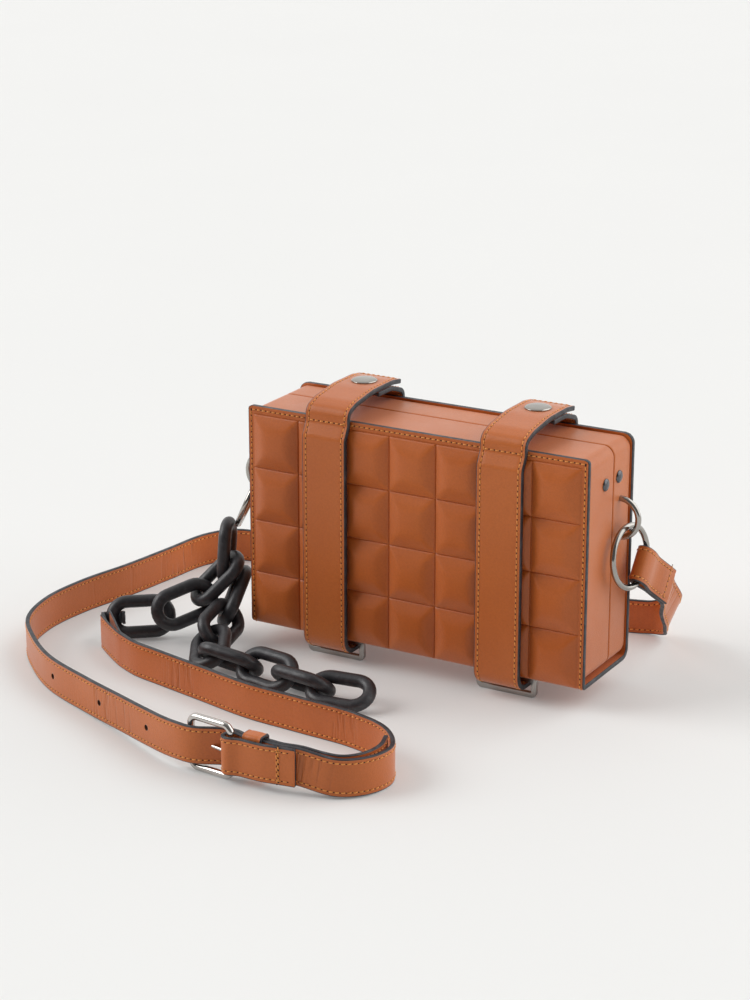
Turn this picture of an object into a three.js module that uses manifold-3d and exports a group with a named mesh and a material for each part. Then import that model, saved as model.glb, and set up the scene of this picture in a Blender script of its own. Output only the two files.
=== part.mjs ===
// Box bag with a quilted front, a folded leather strap with a buckle, and a chain of resin links.
// Millimetres, +X to the right, +Y to the back, +Z up.
// The origin is the middle of the underside of the box. The bag stands a little lower, on its strap loops.

import * as THREE from "three";
import { mergeVertices } from "three/addons/utils/BufferGeometryUtils.js";
import { ParametricGeometry } from "three/addons/geometries/ParametricGeometry.js";
import Module from "manifold-3d";

const wasm = await Module();
wasm.setup();

const { Vector2, Vector3 } = THREE;
const axisX = new Vector3(1, 0, 0);
const axisY = new Vector3(0, 1, 0);
const axisZ = new Vector3(0, 0, 1);

// Gaps
const fitGap = 0.3; // air between two pieces that touch
const cutOver = 5; // how far a cutting tool runs past what it cuts

// Box, outside sizes over the cover
const boxWidth = 200;
const boxHeight = 123.4;
const boxDepth = 55.2;

// Quilted cover
const coverThickness = 2.6;
const coverFrontFold = 3; // outer radius of the fold from front to bottom
const coverBackFold = 6;
const coverFrontCorner = 2; // radius of the top corners, seen from the front
const coverBackCorner = 5;
const puffColumns = 7;
const puffRows = 4;
const puffHeight = 3.7;
const seamHeight = 0.3; // height of the stitched valleys between the puffs
const quiltSideBorder = 3.8;
const quiltTopBorder = 4.4;
const quiltBottomBorder = 1.2;
const quiltBase = 1; // how deep the quilting is joined into the sheet
// One puff from edge to edge: place along it and height, both as shares
const puffProfile = [
  { at: 0, rise: 0 },
  { at: 0.1, rise: 0.55 },
  { at: 0.28, rise: 0.92 },
  { at: 0.5, rise: 1 },
  { at: 0.72, rise: 0.92 },
  { at: 0.9, rise: 0.55 },
];

// Shells: two trays with their mouths at the seam
const shellWall = 3;
const shellCorner = 6;
const shellInset = 1; // how far the cover stands past the shells at the sides and the top
const seamOffset = 4.5; // the seam lies behind the middle of the box
const seamGap = 0.4;

// Closing straps
const closingWidth = 26;
const closingThickness = 2.6;
const closingLeft = -49.7; // places of the straps' middles; they sit a little right of the box's middle
const closingRight = 53.3;
const overQuilt = 4; // from the front panel to the inside of the strap, over the puffs
const underBox = 3.6; // from the underside of the box to the top of the strap, over it the loops' top bar
const strapFrontBend = 8;
const strapBackBend = 5;
const flapRise = 8.8; // height of the flap's underside over the box at the snap
const flapDrop = 1.3; // how much lower the flap's tip is than its flat part
const flapFlatFront = 12; // length of the flap's flat part before the snap
const flapFlatBack = 8.5; // and behind it
const flapTip = 17; // how far behind the snap the flap ends
const flapShoulder = 29.5; // how far before the snap the flap's slope changes
const flapShoulderDrop = 2.5;
const tabFlatBack = 7; // length of the tab's flat part behind the snap
const tabFlatFront = 7;
const tabCorner = 2.9; // height over the box at which the tab turns over the back edge
const flapCorner = 4.6; // height over the box at which the flap turns over the front edge
const flapCrest = 60; // radii of the strap's bends, from the flap to the front and from the back to the tab
const flapShoulderBend = 20;
const flapSag = 25;
const flapTurn = 5;
const tabTurn = 4.5;
const tabCrest = 20;
const overBorder = 2.5; // the strap leaves the quilting's border this far below the top
const ontoQuilt = 9.5; // and lies on the puffs from this far below the top

// Snaps
const snapOffset = 9; // behind the middle of the box
const snapCapDiameter = 14;
const snapCapRim = 0.5;
const snapCapHeight = 1.6;
const snapShankDiameter = 5;
const snapFlangeDiameter = 9;
const snapFlangeThickness = 1;
const snapSides = 16;

// Strap loops under the box
const loopLength = 35;
const loopSideBar = 3.3;
const loopBar = 3;
const loopDepth = 2.5;
const loopCorner = 3;
const loopOffset = 21; // from the middle of the box to a loop, along Y
const loopBarToBar = 5.7; // height of the opening

// Rivets in the side walls
const rivetDiameter = 6.7;
const rivetHeight = 1.2;
const rivetRim = 0.3;
const rivetShankDiameter = 2.4;
const rivetHoleDiameter = 3;
const rivetFlangeDiameter = 5;
const rivetFlangeThickness = 0.8;
const rivetDrop = 18.7; // below the top edge of the cover
const rivetFrontReach = 9.9; // in front of the seam
const rivetBackReach = 6.2; // behind the seam
const rivetSides = 12;

// Bails, half rings in the side walls: the left one in the front shell and the right one in the back shell
const bailRadius = 10.4; // to the middle of the wire
const bailWire = 3.2;
const bailHoleDiameter = 4;
const bailOffset = 13.4; // from the middle of the box, along Y
const bailDrop = 41.5; // below the top edge of the cover
const bailLegEnd = 1; // how far a leg stands past the inside of the wall
const bailSteps = 14;
const wireSides = 8;

// Round rings in the bails: place from the middle of the bail, and the way the ring faces
const ringRadius = 16.2;
const ringWire = 3.2;
const ringSteps = 24;
const rightRing = { out: 6.5, back: 0, up: -20.2, facing: new Vector3(0.984, -0.135, 0.115) };
const leftRing = { out: 12.7, back: 5.1, up: -17.7, facing: new Vector3(0.854, 0.335, -0.398) };

// Shoulder strap
const strapWidth = 19.5;
const strapThickness = 2.2;
const ringFoldLength = 27; // from the ring's wire to the raw end of the folded-back ply
const ringPlyMeet = 8; // from the ring's wire to where the two plies lie together
const ringFoldSink = 4.1; // the straight fold crosses the round wire, so it hangs this much below its middle
const holeSpacing = 45;
const holeDiameter = 3;
const spareHoles = 3; // holes besides the one that the prong is in
const sampleStep = 7; // length of a facet along the strap

// Buckle, lying on its side in the strap: plan places from the middle of the box
const strapRaise = 4.5; // how far the strap is lifted off the surface at the buckle
const heelBar = { x: -11.8, y: -184.7 };
const tipBar = { x: -36.2, y: -182.2 };
const frameHeight = 30;
const frameCorner = 4;
const frameWire = 3.7;
const heelWire = 2.6;
const eyeRadius = 1.6; // inside of the prong's eye
const eyeWall = 0.8;
const eyeLength = 3;
const prongWire = 2;
const prongHole = 2.9; // diameter of the holes that the prong is in
const prongPast = 2; // how far the prong's point stands past the tip bar
const heelFoldRadius = 3.8; // of the middle of the short strap's ply round the heel bar
const keeperReach = 11.8; // from the heel bar to the middle of the keeper
const seamReach = 26.8; // from the heel bar to the seam that closes the fold
const rawEndReach = 35.8; // from the heel bar to the raw end of the folded-back ply
const keeperWidth = 11;
const keeperThickness = 1.5;
const keeperSlack = 0.5; // above and below the strap

// Chain
const linkLength = 38.5;
const linkWidth = 24;
const linkWire = 7;
const linkWireSides = 6;
const linkEndSteps = 6;

// Leather tongue from the short strap to the chain
const tongueWidth = 7;
const tongueThickness = 1.6;

// Levels
const loopHeight = 2 * loopBar + loopBarToBar;
const floorLevel = -(fitGap + loopHeight);
const strapMiddle = floorLevel + strapWidth / 2; // middle height of a strap that stands on its edge
const buckleLevel = strapMiddle + strapRaise;

// Route of the long strap from the right ring to the buckle: place, lift of its middle, lean of its top
const longRoute = [
  { x: 106.5, y: 62, lift: 26, leanX: 0.1, leanY: 0.5 },
  { x: 104, y: 76, lift: 12.7, leanX: 0.28, leanY: 0.25 },
  { x: 97.5, y: 86.5, lift: 4.7, leanX: 0.38, leanY: 0.05 },
  { x: 88.5, y: 91, lift: 1.1, leanX: 0.25, leanY: 0 },
  { x: 78.5, y: 89.5, lift: 0.2, leanX: 0.08, leanY: 0 },
  { x: 66, y: 87, lift: 0, leanX: 0, leanY: 0 },
  { x: 40, y: 85, lift: 0, leanX: 0, leanY: 0 },
  { x: -60, y: 84.5, lift: 0, leanX: 0, leanY: 0 },
  { x: -160, y: 84, lift: 0, leanX: 0, leanY: 0 },
  { x: -180, y: 79, lift: 0, leanX: 0, leanY: 0 },
  { x: -190, y: 64, lift: 0, leanX: 0, leanY: 0 },
  { x: -195, y: 32, lift: 0, leanX: 0, leanY: 0 },
  { x: -200, y: -2, lift: 0, leanX: 0, leanY: 0 },
  { x: -207, y: -36, lift: 0, leanX: 0, leanY: 0 },
  { x: -208, y: -68, lift: 0, leanX: 0, leanY: 0 },
  { x: -199, y: -97, lift: 0, leanX: 0, leanY: 0 },
  { x: -180, y: -118, lift: 0, leanX: 0, leanY: 0 },
  { x: -155, y: -137, lift: 0, leanX: 0, leanY: 0 },
  { x: -119, y: -153, lift: 0.4, leanX: 0, leanY: 0 },
  { x: -90, y: -165, lift: 1.4, leanX: 0, leanY: 0 },
  { x: -70, y: -174, lift: 2.6, leanX: 0, leanY: 0 },
  { x: -52, y: -181.5, lift: 3.7, leanX: 0, leanY: 0 },
];

// Route of the long strap's free end along the inside of the short strap
const tipRoute = [
  { x: 33, y: -177.1, lift: 2.9 },
  { x: 41.5, y: -173.9, lift: 1.6 },
  { x: 46.5, y: -169.5, lift: 1.2 },
  { x: 50.3, y: -161.5, lift: 0.8 },
  { x: 51.3, y: -151, lift: 0.5 },
  { x: 48.3, y: -139.8, lift: 0.5 },
];

// Route of the short strap from its doubled end to the chain
const shortRoute = [
  { x: 43, y: -177.2, lift: 1.3 },
  { x: 54, y: -165, lift: 0.5 },
  { x: 56, y: -148, lift: 0 },
  { x: 43, y: -131, lift: 0 },
  { x: 20, y: -122.5, lift: 0 },
  { x: -14, y: -119.5, lift: 0 },
  { x: -46, y: -117, lift: 0 },
  { x: -78, y: -110, lift: 0 },
  { x: -109, y: -103, lift: 0 },
  { x: -128, y: -98.5, lift: 0 },
  { x: -142, y: -92, lift: 0 },
];
// The strap is two layers, which part at its end: plan places of the middle of each
const outerLayer = [
  { x: -137, y: -94.9 },
  { x: -142, y: -92.6 },
  { x: -150, y: -87.3 },
  { x: -158, y: -81.6 },
  { x: -166.5, y: -75 },
];
const innerLayer = [
  { x: -136.5, y: -93.9 },
  { x: -141.7, y: -91.4 },
  { x: -149, y: -84.6 },
  { x: -157, y: -76.4 },
  { x: -165.5, y: -68 },
];
// The tongue's root and way out between the layers
const tongueRoot = [
  { x: -155.5, y: -81.2, z: -1.5 },
  { x: -166.3, y: -71.6, z: 0.5 },
];
// Its way round the end wire of the link: share of the clear radius, along the link and towards the strap
const tongueTurn = [
  { past: 1.06, near: 1.2 },
  { past: 1.08, near: 0 },
  { past: 0.82, near: -0.85 },
  { past: -0.1, near: -1.24 },
  { past: -1.06, near: -0.98 },
  { past: -1.38, near: 0 },
  { past: -1.4, near: 1.9 },
];

// Places of the chain's links: out from the left side, along Y, up from the surface, and turns in degrees.
// The first link hangs on the left ring and holds the next two; one branch runs to the strap, one lies free.
const chainPlaces = [
  { out: 21.8, along: -17.4, up: 45.9, heading: -81, pitch: -80, roll: 78 },
  { out: 21.7, along: -27.7, up: 33.2, heading: -139, pitch: -44, roll: -9 },
  { out: 34.2, along: -41.7, up: 20.2, heading: -131, pitch: -17, roll: 104 },
  { out: 57.1, along: -51, up: 11.9, heading: -144, pitch: -1, roll: 109 },
  { out: 12.5, along: -25, up: 23.7, heading: -82, pitch: -37, roll: 55 },
  { out: 8.1, along: -45.5, up: 14.9, heading: -82, pitch: -7, roll: 128 },
  { out: 0.9, along: -67.3, up: 10.4, heading: -60, pitch: -10, roll: -155 },
  { out: -17.4, along: -75.6, up: 10.1, heading: 2, pitch: -6, roll: 137 },
  { out: -41.2, along: -77.3, up: 9.4, heading: -8, pitch: 0, roll: 43 },
  { out: -64.9, along: -80, up: 9.1, heading: -7, pitch: 0, roll: 139 },
  { out: -87.4, along: -80, up: 8.1, heading: 7, pitch: 0, roll: 28 },
];
const tongueLink = 3; // index of the link that the tongue holds

// Colours and finishes
const leather = new THREE.MeshStandardMaterial({ color: 0xa65a34, roughness: 0.45, metalness: 0 });
const quiltedLeather = new THREE.MeshStandardMaterial({ color: 0xa95c35, roughness: 0.42, metalness: 0 });
const darkNickel = new THREE.MeshStandardMaterial({ color: 0x5a5754, roughness: 0.25, metalness: 1 });
const satinSteel = new THREE.MeshStandardMaterial({ color: 0x8a8784, roughness: 0.4, metalness: 1 });
const blackResin = new THREE.MeshStandardMaterial({ color: 0x2a2a2d, roughness: 0.6, metalness: 0 });

// Closed geometry to solid and back

function toSolid(geometry) {
  const bare = new THREE.BufferGeometry();
  bare.setAttribute("position", geometry.getAttribute("position"));
  if (geometry.index) bare.setIndex(geometry.index);
  const merged = mergeVertices(bare, 1e-4);
  const corners = merged.index.array;
  const faces = [];
  for (let i = 0; i < corners.length; i += 3) {
    const [a, b, c] = corners.slice(i, i + 3);
    if (a !== b && b !== c && c !== a) faces.push(a, b, c);
  }
  return new wasm.Manifold(
    new wasm.Mesh({
      numProp: 3,
      vertProperties: new Float32Array(merged.getAttribute("position").array),
      triVerts: new Uint32Array(faces),
    }),
  );
}

function toGeometry(solid) {
  const { vertProperties, triVerts } = solid.getMesh();
  const geometry = new THREE.BufferGeometry();
  geometry.setAttribute("position", new THREE.BufferAttribute(vertProperties, 3));
  geometry.setIndex(new THREE.BufferAttribute(triVerts, 1));
  const faceted = geometry.toNonIndexed();
  faceted.computeVertexNormals();
  return faceted;
}

const cut = (geometry, ...tools) =>
  toGeometry(tools.reduce((solid, tool) => solid.subtract(toSolid(tool)), toSolid(geometry)));

const join = (geometry, ...others) =>
  toGeometry(others.reduce((solid, other) => solid.add(toSolid(other)), toSolid(geometry)));

const keepInside = (geometry, limit) => toGeometry(toSolid(geometry).intersect(toSolid(limit)));

// Lines in a plane with rounded corners

const leftOf = (direction) => new Vector2(-direction.y, direction.x);

// Points with their directions where a line turns at a corner { x, y, radius }
function roundedCorner(before, corner, after, arcSteps) {
  const here = new Vector2(corner.x, corner.y);
  const incoming = here.clone().sub(before).normalize();
  const outgoing = new Vector2(after.x, after.y).sub(here).normalize();
  if (!corner.radius) return [{ at: here, along: outgoing }];
  const turn = Math.atan2(incoming.cross(outgoing), incoming.dot(outgoing));
  const side = Math.sign(turn);
  const reach = corner.radius * Math.tan(Math.abs(turn) / 2);
  const start = here.clone().addScaledVector(incoming, -reach);
  const centre = start.clone().addScaledVector(leftOf(incoming), side * corner.radius);
  return Array.from({ length: arcSteps + 1 }, (_, k) => {
    const along = incoming.clone().rotateAround(new Vector2(), (turn * k) / arcSteps);
    const at = centre.clone().addScaledVector(leftOf(along), -side * corner.radius);
    return { at, along };
  });
}

// An open line through corners
function roundedLine(corners, arcSteps) {
  const [first, second] = corners.map(({ x, y }) => new Vector2(x, y));
  const [last, lastButOne] = corners.map(({ x, y }) => new Vector2(x, y)).reverse();
  const between = corners
    .slice(1, -1)
    .flatMap((corner, i) => roundedCorner(corners[i], corner, corners[i + 2], arcSteps));
  return [
    { at: first, along: second.clone().sub(first).normalize() },
    ...between,
    { at: last, along: last.clone().sub(lastButOne).normalize() },
  ];
}

// A closed outline through corners, as a shape
function roundedOutline(corners, arcSteps = 4) {
  const count = corners.length;
  const points = corners.flatMap((corner, i) =>
    roundedCorner(corners[(i + count - 1) % count], corner, corners[(i + 1) % count], arcSteps),
  );
  return new THREE.Shape(points.map(({ at }) => at));
}

// Outline of a sheet of even thickness that follows a line
function sheetShape(line, thickness) {
  const edge = (side) =>
    line.map(({ at, along }) => at.clone().addScaledVector(leftOf(along), side * thickness));
  return new THREE.Shape([...edge(-0.5), ...edge(0.5).reverse()]);
}

const rectangle = (left, bottom, right, top, bottomRadius, topRadius) =>
  roundedOutline([
    { x: left, y: bottom, radius: bottomRadius },
    { x: right, y: bottom, radius: bottomRadius },
    { x: right, y: top, radius: topRadius },
    { x: left, y: top, radius: topRadius },
  ]);

// Extrusions along the three axes

const extrude = (shape, depth) => new THREE.ExtrudeGeometry(shape, { depth, bevelEnabled: false });

// A side view (Y, Z), centred on X
function extrudeAlongX(shape, width) {
  const turn = new THREE.Matrix4().makeBasis(axisY, axisZ, axisX);
  return extrude(shape, width)
    .translate(0, 0, -width / 2)
    .applyMatrix4(turn);
}

// A front view (X, Z), from one depth to another
function extrudeAlongY(shape, from, to) {
  const turn = new THREE.Matrix4().makeBasis(axisX, axisZ, axisY.clone().negate());
  return extrude(shape, to - from)
    .applyMatrix4(turn)
    .translate(0, to, 0);
}

const cylinderAlong = (axis, diameter, length, sides) => {
  const cylinder = new THREE.CylinderGeometry(diameter / 2, diameter / 2, length, sides);
  const turn = new THREE.Quaternion().setFromUnitVectors(new Vector3(0, 1, 0), axis.clone().normalize());
  return cylinder.applyQuaternion(turn);
};

// A turned piece round Z from a profile of { r, z } that runs upwards
function turned(profile, sides) {
  const lathe = new THREE.LatheGeometry(
    profile.map(({ r, z }) => new Vector2(r, z)),
    sides,
  );
  return lathe.rotateX(Math.PI / 2);
}

const domeProfile = (radius, rim, height, base, steps) =>
  Array.from({ length: steps + 1 }, (_, k) => {
    const angle = (Math.PI / 2) * (k / steps);
    return { r: radius * Math.cos(angle), z: base + rim + (height - rim) * Math.sin(angle) };
  });

// Cover

function coverSheet() {
  const half = coverThickness / 2;
  const front = -boxDepth / 2 + half;
  const back = boxDepth / 2 - half;
  const corners = [
    { x: front, y: boxHeight },
    { x: front, y: half, radius: coverFrontFold - half },
    { x: back, y: half, radius: coverBackFold - half },
    { x: back, y: boxHeight },
  ];
  return extrudeAlongX(sheetShape(roundedLine(corners, 4), coverThickness), boxWidth);
}

// The panel outline with rounded top corners, as a block that trims the cover
const panelLimit = (corner, from, to) =>
  extrudeAlongY(rectangle(-boxWidth / 2, -cutOver, boxWidth / 2, boxHeight, 0, corner), from, to);

// A block whose front is raised into puffs, with a finer grid near their edges
function quilting() {
  const width = boxWidth - 2 * quiltSideBorder;
  const height = boxHeight - quiltTopBorder - quiltBottomBorder;
  const steps = puffProfile.length;
  const across = puffColumns * steps;
  const upwards = puffRows * steps;
  const block = new THREE.BoxGeometry(1, 1, 1, across, upwards, 1);
  const position = block.getAttribute("position");
  for (let i = 0; i < position.count; i++) {
    const column = Math.round((position.getX(i) + 0.5) * across);
    const row = Math.round((position.getY(i) + 0.5) * upwards);
    const isFront = position.getZ(i) > 0;
    const place = (index) => Math.floor(index / steps) + puffProfile[index % steps].at;
    const rise = puffProfile[column % steps].rise * puffProfile[row % steps].rise;
    const x = (place(column) / puffColumns - 0.5) * width;
    const z = quiltBottomBorder + (place(row) / puffRows) * height;
    const out = isFront ? seamHeight + (puffHeight - seamHeight) * rise : -quiltBase;
    position.setXYZ(i, x, -boxDepth / 2 - out, z);
  }
  return block;
}

function quiltedCover() {
  const sheet = join(coverSheet(), quilting());
  const limit = join(
    panelLimit(coverFrontCorner, -boxDepth, 0),
    panelLimit(coverBackCorner, -fitGap, boxDepth),
  );
  return keepInside(sheet, limit);
}

// Shells

const shellTop = boxHeight - shellInset;
const shellBottom = coverThickness + fitGap;
const shellSide = boxWidth / 2 - shellInset;
const shellFace = boxDepth / 2 - coverThickness - fitGap;
const rivetLevel = boxHeight - rivetDrop;
const bailLevel = boxHeight - bailDrop;

function tray(from, to, hollowFrom, hollowTo) {
  const outline = (inset) => {
    const side = shellSide - inset;
    const radius = shellCorner - inset;
    return rectangle(-side, shellBottom + inset, side, shellTop - inset, radius, radius);
  };
  return cut(extrudeAlongY(outline(0), from, to), extrudeAlongY(outline(shellWall), hollowFrom, hollowTo));
}

const sideHole = (side, y, z, diameter) =>
  cylinderAlong(axisX, diameter, 2 * (shellWall + cutOver), 12).translate(side * shellSide, y, z);

const bailHoles = (side) =>
  [-1, 1].map((end) => sideHole(side, side * bailOffset, bailLevel + end * bailRadius, bailHoleDiameter));

function frontShell() {
  const mouth = seamOffset - seamGap / 2;
  const body = tray(-shellFace, mouth, -shellFace + shellWall, mouth + cutOver);
  const rivetHoles = [-1, 1].map((side) =>
    sideHole(side, seamOffset - rivetFrontReach, rivetLevel, rivetHoleDiameter),
  );
  return cut(body, ...rivetHoles, ...bailHoles(-1));
}

// Side view of the space inside the cover's folds
const insideFolds = () =>
  extrudeAlongX(
    roundedOutline([
      { x: -shellFace, y: shellBottom },
      { x: shellFace, y: shellBottom, radius: coverBackFold - coverThickness - fitGap },
      { x: shellFace, y: boxHeight },
      { x: -shellFace, y: boxHeight },
    ]),
    boxWidth,
  );

function backShell() {
  const mouth = seamOffset + seamGap / 2;
  const body = keepInside(tray(mouth, shellFace, mouth - cutOver, shellFace - shellWall), insideFolds());
  const rivetHoles = [-1, 1].map((side) =>
    sideHole(side, seamOffset + rivetBackReach, rivetLevel, rivetHoleDiameter),
  );
  return cut(body, ...rivetHoles, ...bailHoles(1));
}

// Closing straps and snaps

function closingStrap() {
  const half = closingThickness / 2;
  const top = boxHeight;
  const border = -boxDepth / 2 - fitGap - half;
  const front = -boxDepth / 2 - overQuilt - half;
  const back = boxDepth / 2 + fitGap + half;
  const under = -underBox - half;
  const flapLevel = top + flapRise + half;
  const tabLevel = top + flapRise - fitGap - half;
  const corners = [
    { x: snapOffset + flapTip, y: flapLevel - flapDrop },
    { x: snapOffset + flapFlatBack, y: flapLevel, radius: flapSag },
    { x: snapOffset - flapFlatFront, y: flapLevel, radius: flapCrest },
    { x: snapOffset - flapShoulder, y: flapLevel - flapShoulderDrop, radius: flapShoulderBend },
    { x: border, y: top + flapCorner, radius: flapTurn },
    { x: border, y: top - overBorder, radius: flapTurn },
    { x: front, y: top - ontoQuilt, radius: flapTurn },
    { x: front, y: under, radius: strapFrontBend },
    { x: back, y: under, radius: strapBackBend },
    { x: back, y: top + tabCorner, radius: tabTurn },
    { x: snapOffset + tabFlatBack, y: tabLevel, radius: tabCrest },
    { x: snapOffset - tabFlatFront, y: tabLevel },
  ];
  const strap = extrudeAlongX(sheetShape(roundedLine(corners, 4), closingThickness), closingWidth);
  const hole = cylinderAlong(
    axisZ,
    snapShankDiameter + 2 * fitGap,
    2 * closingThickness + 3 * fitGap,
    snapSides,
  ).translate(0, snapOffset, (flapLevel + tabLevel) / 2);
  return cut(strap, hole);
}

function snapCap() {
  const shank = snapShankDiameter / 2;
  const edge = snapCapDiameter / 2;
  return turned(
    [
      { r: 0, z: -closingThickness },
      { r: shank, z: -closingThickness },
      { r: shank, z: fitGap },
      { r: edge, z: fitGap },
      ...domeProfile(edge, snapCapRim, snapCapHeight, fitGap, 4),
    ],
    snapSides,
  );
}

function snapStud() {
  const shank = snapShankDiameter / 2;
  const edge = snapFlangeDiameter / 2;
  const seat = -closingThickness - fitGap;
  return turned(
    [
      { r: 0, z: seat - snapFlangeThickness },
      { r: edge, z: seat - snapFlangeThickness },
      { r: edge, z: seat },
      { r: shank, z: seat },
      { r: shank, z: 0 },
      { r: 0, z: 0 },
    ],
    snapSides,
  );
}

// A flat upright ring: bar below, bar above, and the strap between them
function strapLoop() {
  const side = loopLength / 2;
  const inner = side - loopSideBar;
  const outline = rectangle(-side, floorLevel, side, -fitGap, loopCorner, 0);
  const opening = rectangle(-inner, floorLevel + loopBar, inner, -fitGap - loopBar, 0, 0);
  const plate = extrudeAlongY(outline, -loopDepth / 2, loopDepth / 2);
  return cut(plate, extrudeAlongY(opening, -loopDepth, loopDepth));
}

// Rivet with its head towards +X, seated on a wall whose outside is at x = 0
function rivet() {
  const shank = rivetShankDiameter / 2;
  const head = rivetDiameter / 2;
  const flange = rivetFlangeDiameter / 2;
  const inside = -shellWall - fitGap;
  return turned(
    [
      { r: 0, z: inside - rivetFlangeThickness },
      { r: flange, z: inside - rivetFlangeThickness },
      { r: flange, z: inside },
      { r: shank, z: inside },
      { r: shank, z: fitGap },
      { r: head, z: fitGap },
      ...domeProfile(head, rivetRim, rivetHeight, fitGap, 3),
    ],
    rivetSides,
  ).rotateY(Math.PI / 2);
}

// Bails and rings

// A half circle in the XZ plane, bulging to +X, with straight legs through a wall whose outside is at x = 0
class BailCurve extends THREE.Curve {
  getPoint(t, target = new Vector3()) {
    const leg = shellWall + bailLegEnd;
    const arc = Math.PI * bailRadius;
    const s = t * (2 * leg + arc);
    if (s < leg) return target.set(s - leg, 0, -bailRadius);
    if (s > leg + arc) return target.set(leg + arc - s, 0, bailRadius);
    const angle = (s - leg) / bailRadius - Math.PI / 2;
    return target.set(bailRadius * Math.cos(angle), 0, bailRadius * Math.sin(angle));
  }
}

const polygon = (radius, sides) =>
  new THREE.Shape(
    Array.from({ length: sides }, (_, k) => {
      const angle = (2 * Math.PI * k) / sides;
      return new Vector2(radius * Math.cos(angle), radius * Math.sin(angle));
    }),
  );

const bail = () =>
  new THREE.ExtrudeGeometry(polygon(bailWire / 2, wireSides), {
    steps: bailSteps,
    extrudePath: new BailCurve(),
    bevelEnabled: false,
  });

const roundRing = () => new THREE.TorusGeometry(ringRadius, ringWire / 2, wireSides, ringSteps);

// A closed loop of wire along a rounded rectangle in the XY plane, sized to the middle of the wire
function wireLoop({ length, width, corner, cornerSteps, sides, radiusAt }) {
  const centres = [
    [length / 2 - corner, width / 2 - corner],
    [-length / 2 + corner, width / 2 - corner],
    [-length / 2 + corner, -width / 2 + corner],
    [length / 2 - corner, -width / 2 + corner],
  ];
  const stations = [];
  centres.forEach(([x, y], quarter) => {
    const isRoundEnd = width / 2 - corner < 1e-6;
    for (let k = 0; k <= cornerSteps; k++) {
      if (isRoundEnd && quarter % 2 === 0 && k === 0) continue; // shared with the corner before
      const angle = (Math.PI / 2) * (quarter + k / cornerSteps);
      stations.push({ x, y, angle });
    }
  });
  const steps = stations.length;
  const surface = (u, v, target) => {
    const { x, y, angle } = stations[Math.round(u * steps) % steps];
    const around = -2 * Math.PI * v;
    const middle = corner;
    const wire = radiusAt(x + middle * Math.cos(angle), y + middle * Math.sin(angle));
    const reach = middle + wire * Math.cos(around);
    target.set(x + reach * Math.cos(angle), y + reach * Math.sin(angle), -wire * Math.sin(around));
  };
  return new ParametricGeometry(surface, steps, sides);
}

const chainLink = () =>
  wireLoop({
    length: linkLength - linkWire,
    width: linkWidth - linkWire,
    corner: (linkWidth - linkWire) / 2,
    cornerSteps: linkEndSteps / 2,
    sides: linkWireSides,
    radiusAt: () => linkWire / 2,
  });

// Straps that run through space

// A flat strap through stations { at, across }: middle and unit vector along its width
function strapAlong(stations, width, thickness) {
  const positions = [];
  const faces = [];
  stations.forEach(({ at, across }, i) => {
    const before = stations[Math.max(i - 1, 0)].at;
    const after = stations[Math.min(i + 1, stations.length - 1)].at;
    const forward = after.clone().sub(before).normalize();
    const level = across.clone().addScaledVector(forward, -across.dot(forward)).normalize();
    const through = forward.clone().cross(level);
    [
      [-1, -1],
      [1, -1],
      [1, 1],
      [-1, 1],
    ].forEach(([u, v]) => {
      const corner = at.clone();
      corner.addScaledVector(level, (u * width) / 2).addScaledVector(through, (v * thickness) / 2);
      positions.push(...corner);
    });
  });
  for (let i = 0; i + 1 < stations.length; i++) {
    for (let k = 0; k < 4; k++) {
      const [a, b] = [4 * i + k, 4 * i + ((k + 1) % 4)];
      faces.push(a, b, b + 4, a, b + 4, a + 4);
    }
  }
  const end = 4 * (stations.length - 1);
  faces.push(0, 2, 1, 0, 3, 2, end, end + 1, end + 2, end, end + 2, end + 3);
  const geometry = new THREE.BufferGeometry();
  geometry.setAttribute("position", new THREE.Float32BufferAttribute(positions, 3));
  geometry.setIndex(faces);
  return geometry;
}

// Stations on smooth curves through knots { at, across }
function smoothed(knots, width, step) {
  const edge = (side) =>
    new THREE.CatmullRomCurve3(
      knots.map(({ at, across }) => at.clone().addScaledVector(across, (side * width) / 2)),
      false,
      "centripetal",
    );
  const [upper, lower] = [edge(1), edge(-1)];
  const spans = knots.length - 1;
  const stations = [];
  for (let i = 0; i < spans; i++) {
    const facets = Math.max(1, Math.round(knots[i].at.distanceTo(knots[i + 1].at) / step));
    for (let k = i ? 1 : 0; k <= facets; k++) {
      const [high, low] = [upper, lower].map((curve) => curve.getPoint((i + k / facets) / spans));
      stations.push({ at: high.clone().add(low).multiplyScalar(0.5), across: high.sub(low).normalize() });
    }
  }
  return stations;
}

// A knot on the surface, from a row of a route
function floorKnot({ x, y, lift = 0, leanX = 0, leanY = 0 }) {
  const across = new Vector3(leanX, leanY, Math.sqrt(1 - leanX ** 2 - leanY ** 2));
  return { at: new Vector3(x, y, strapMiddle + lift), across };
}

const buckleStation = (x, y) => ({ at: new Vector3(x, y, buckleLevel), across: axisZ });

// Centre and facing of a ring, in the bag's own frame
function ringPlace(sign) {
  const { out, back, up, facing } = sign > 0 ? rightRing : leftRing;
  const centre = new Vector3(sign * (shellSide + out), sign * bailOffset + back, bailLevel + up);
  return { centre, facing: facing.clone().normalize() };
}

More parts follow.
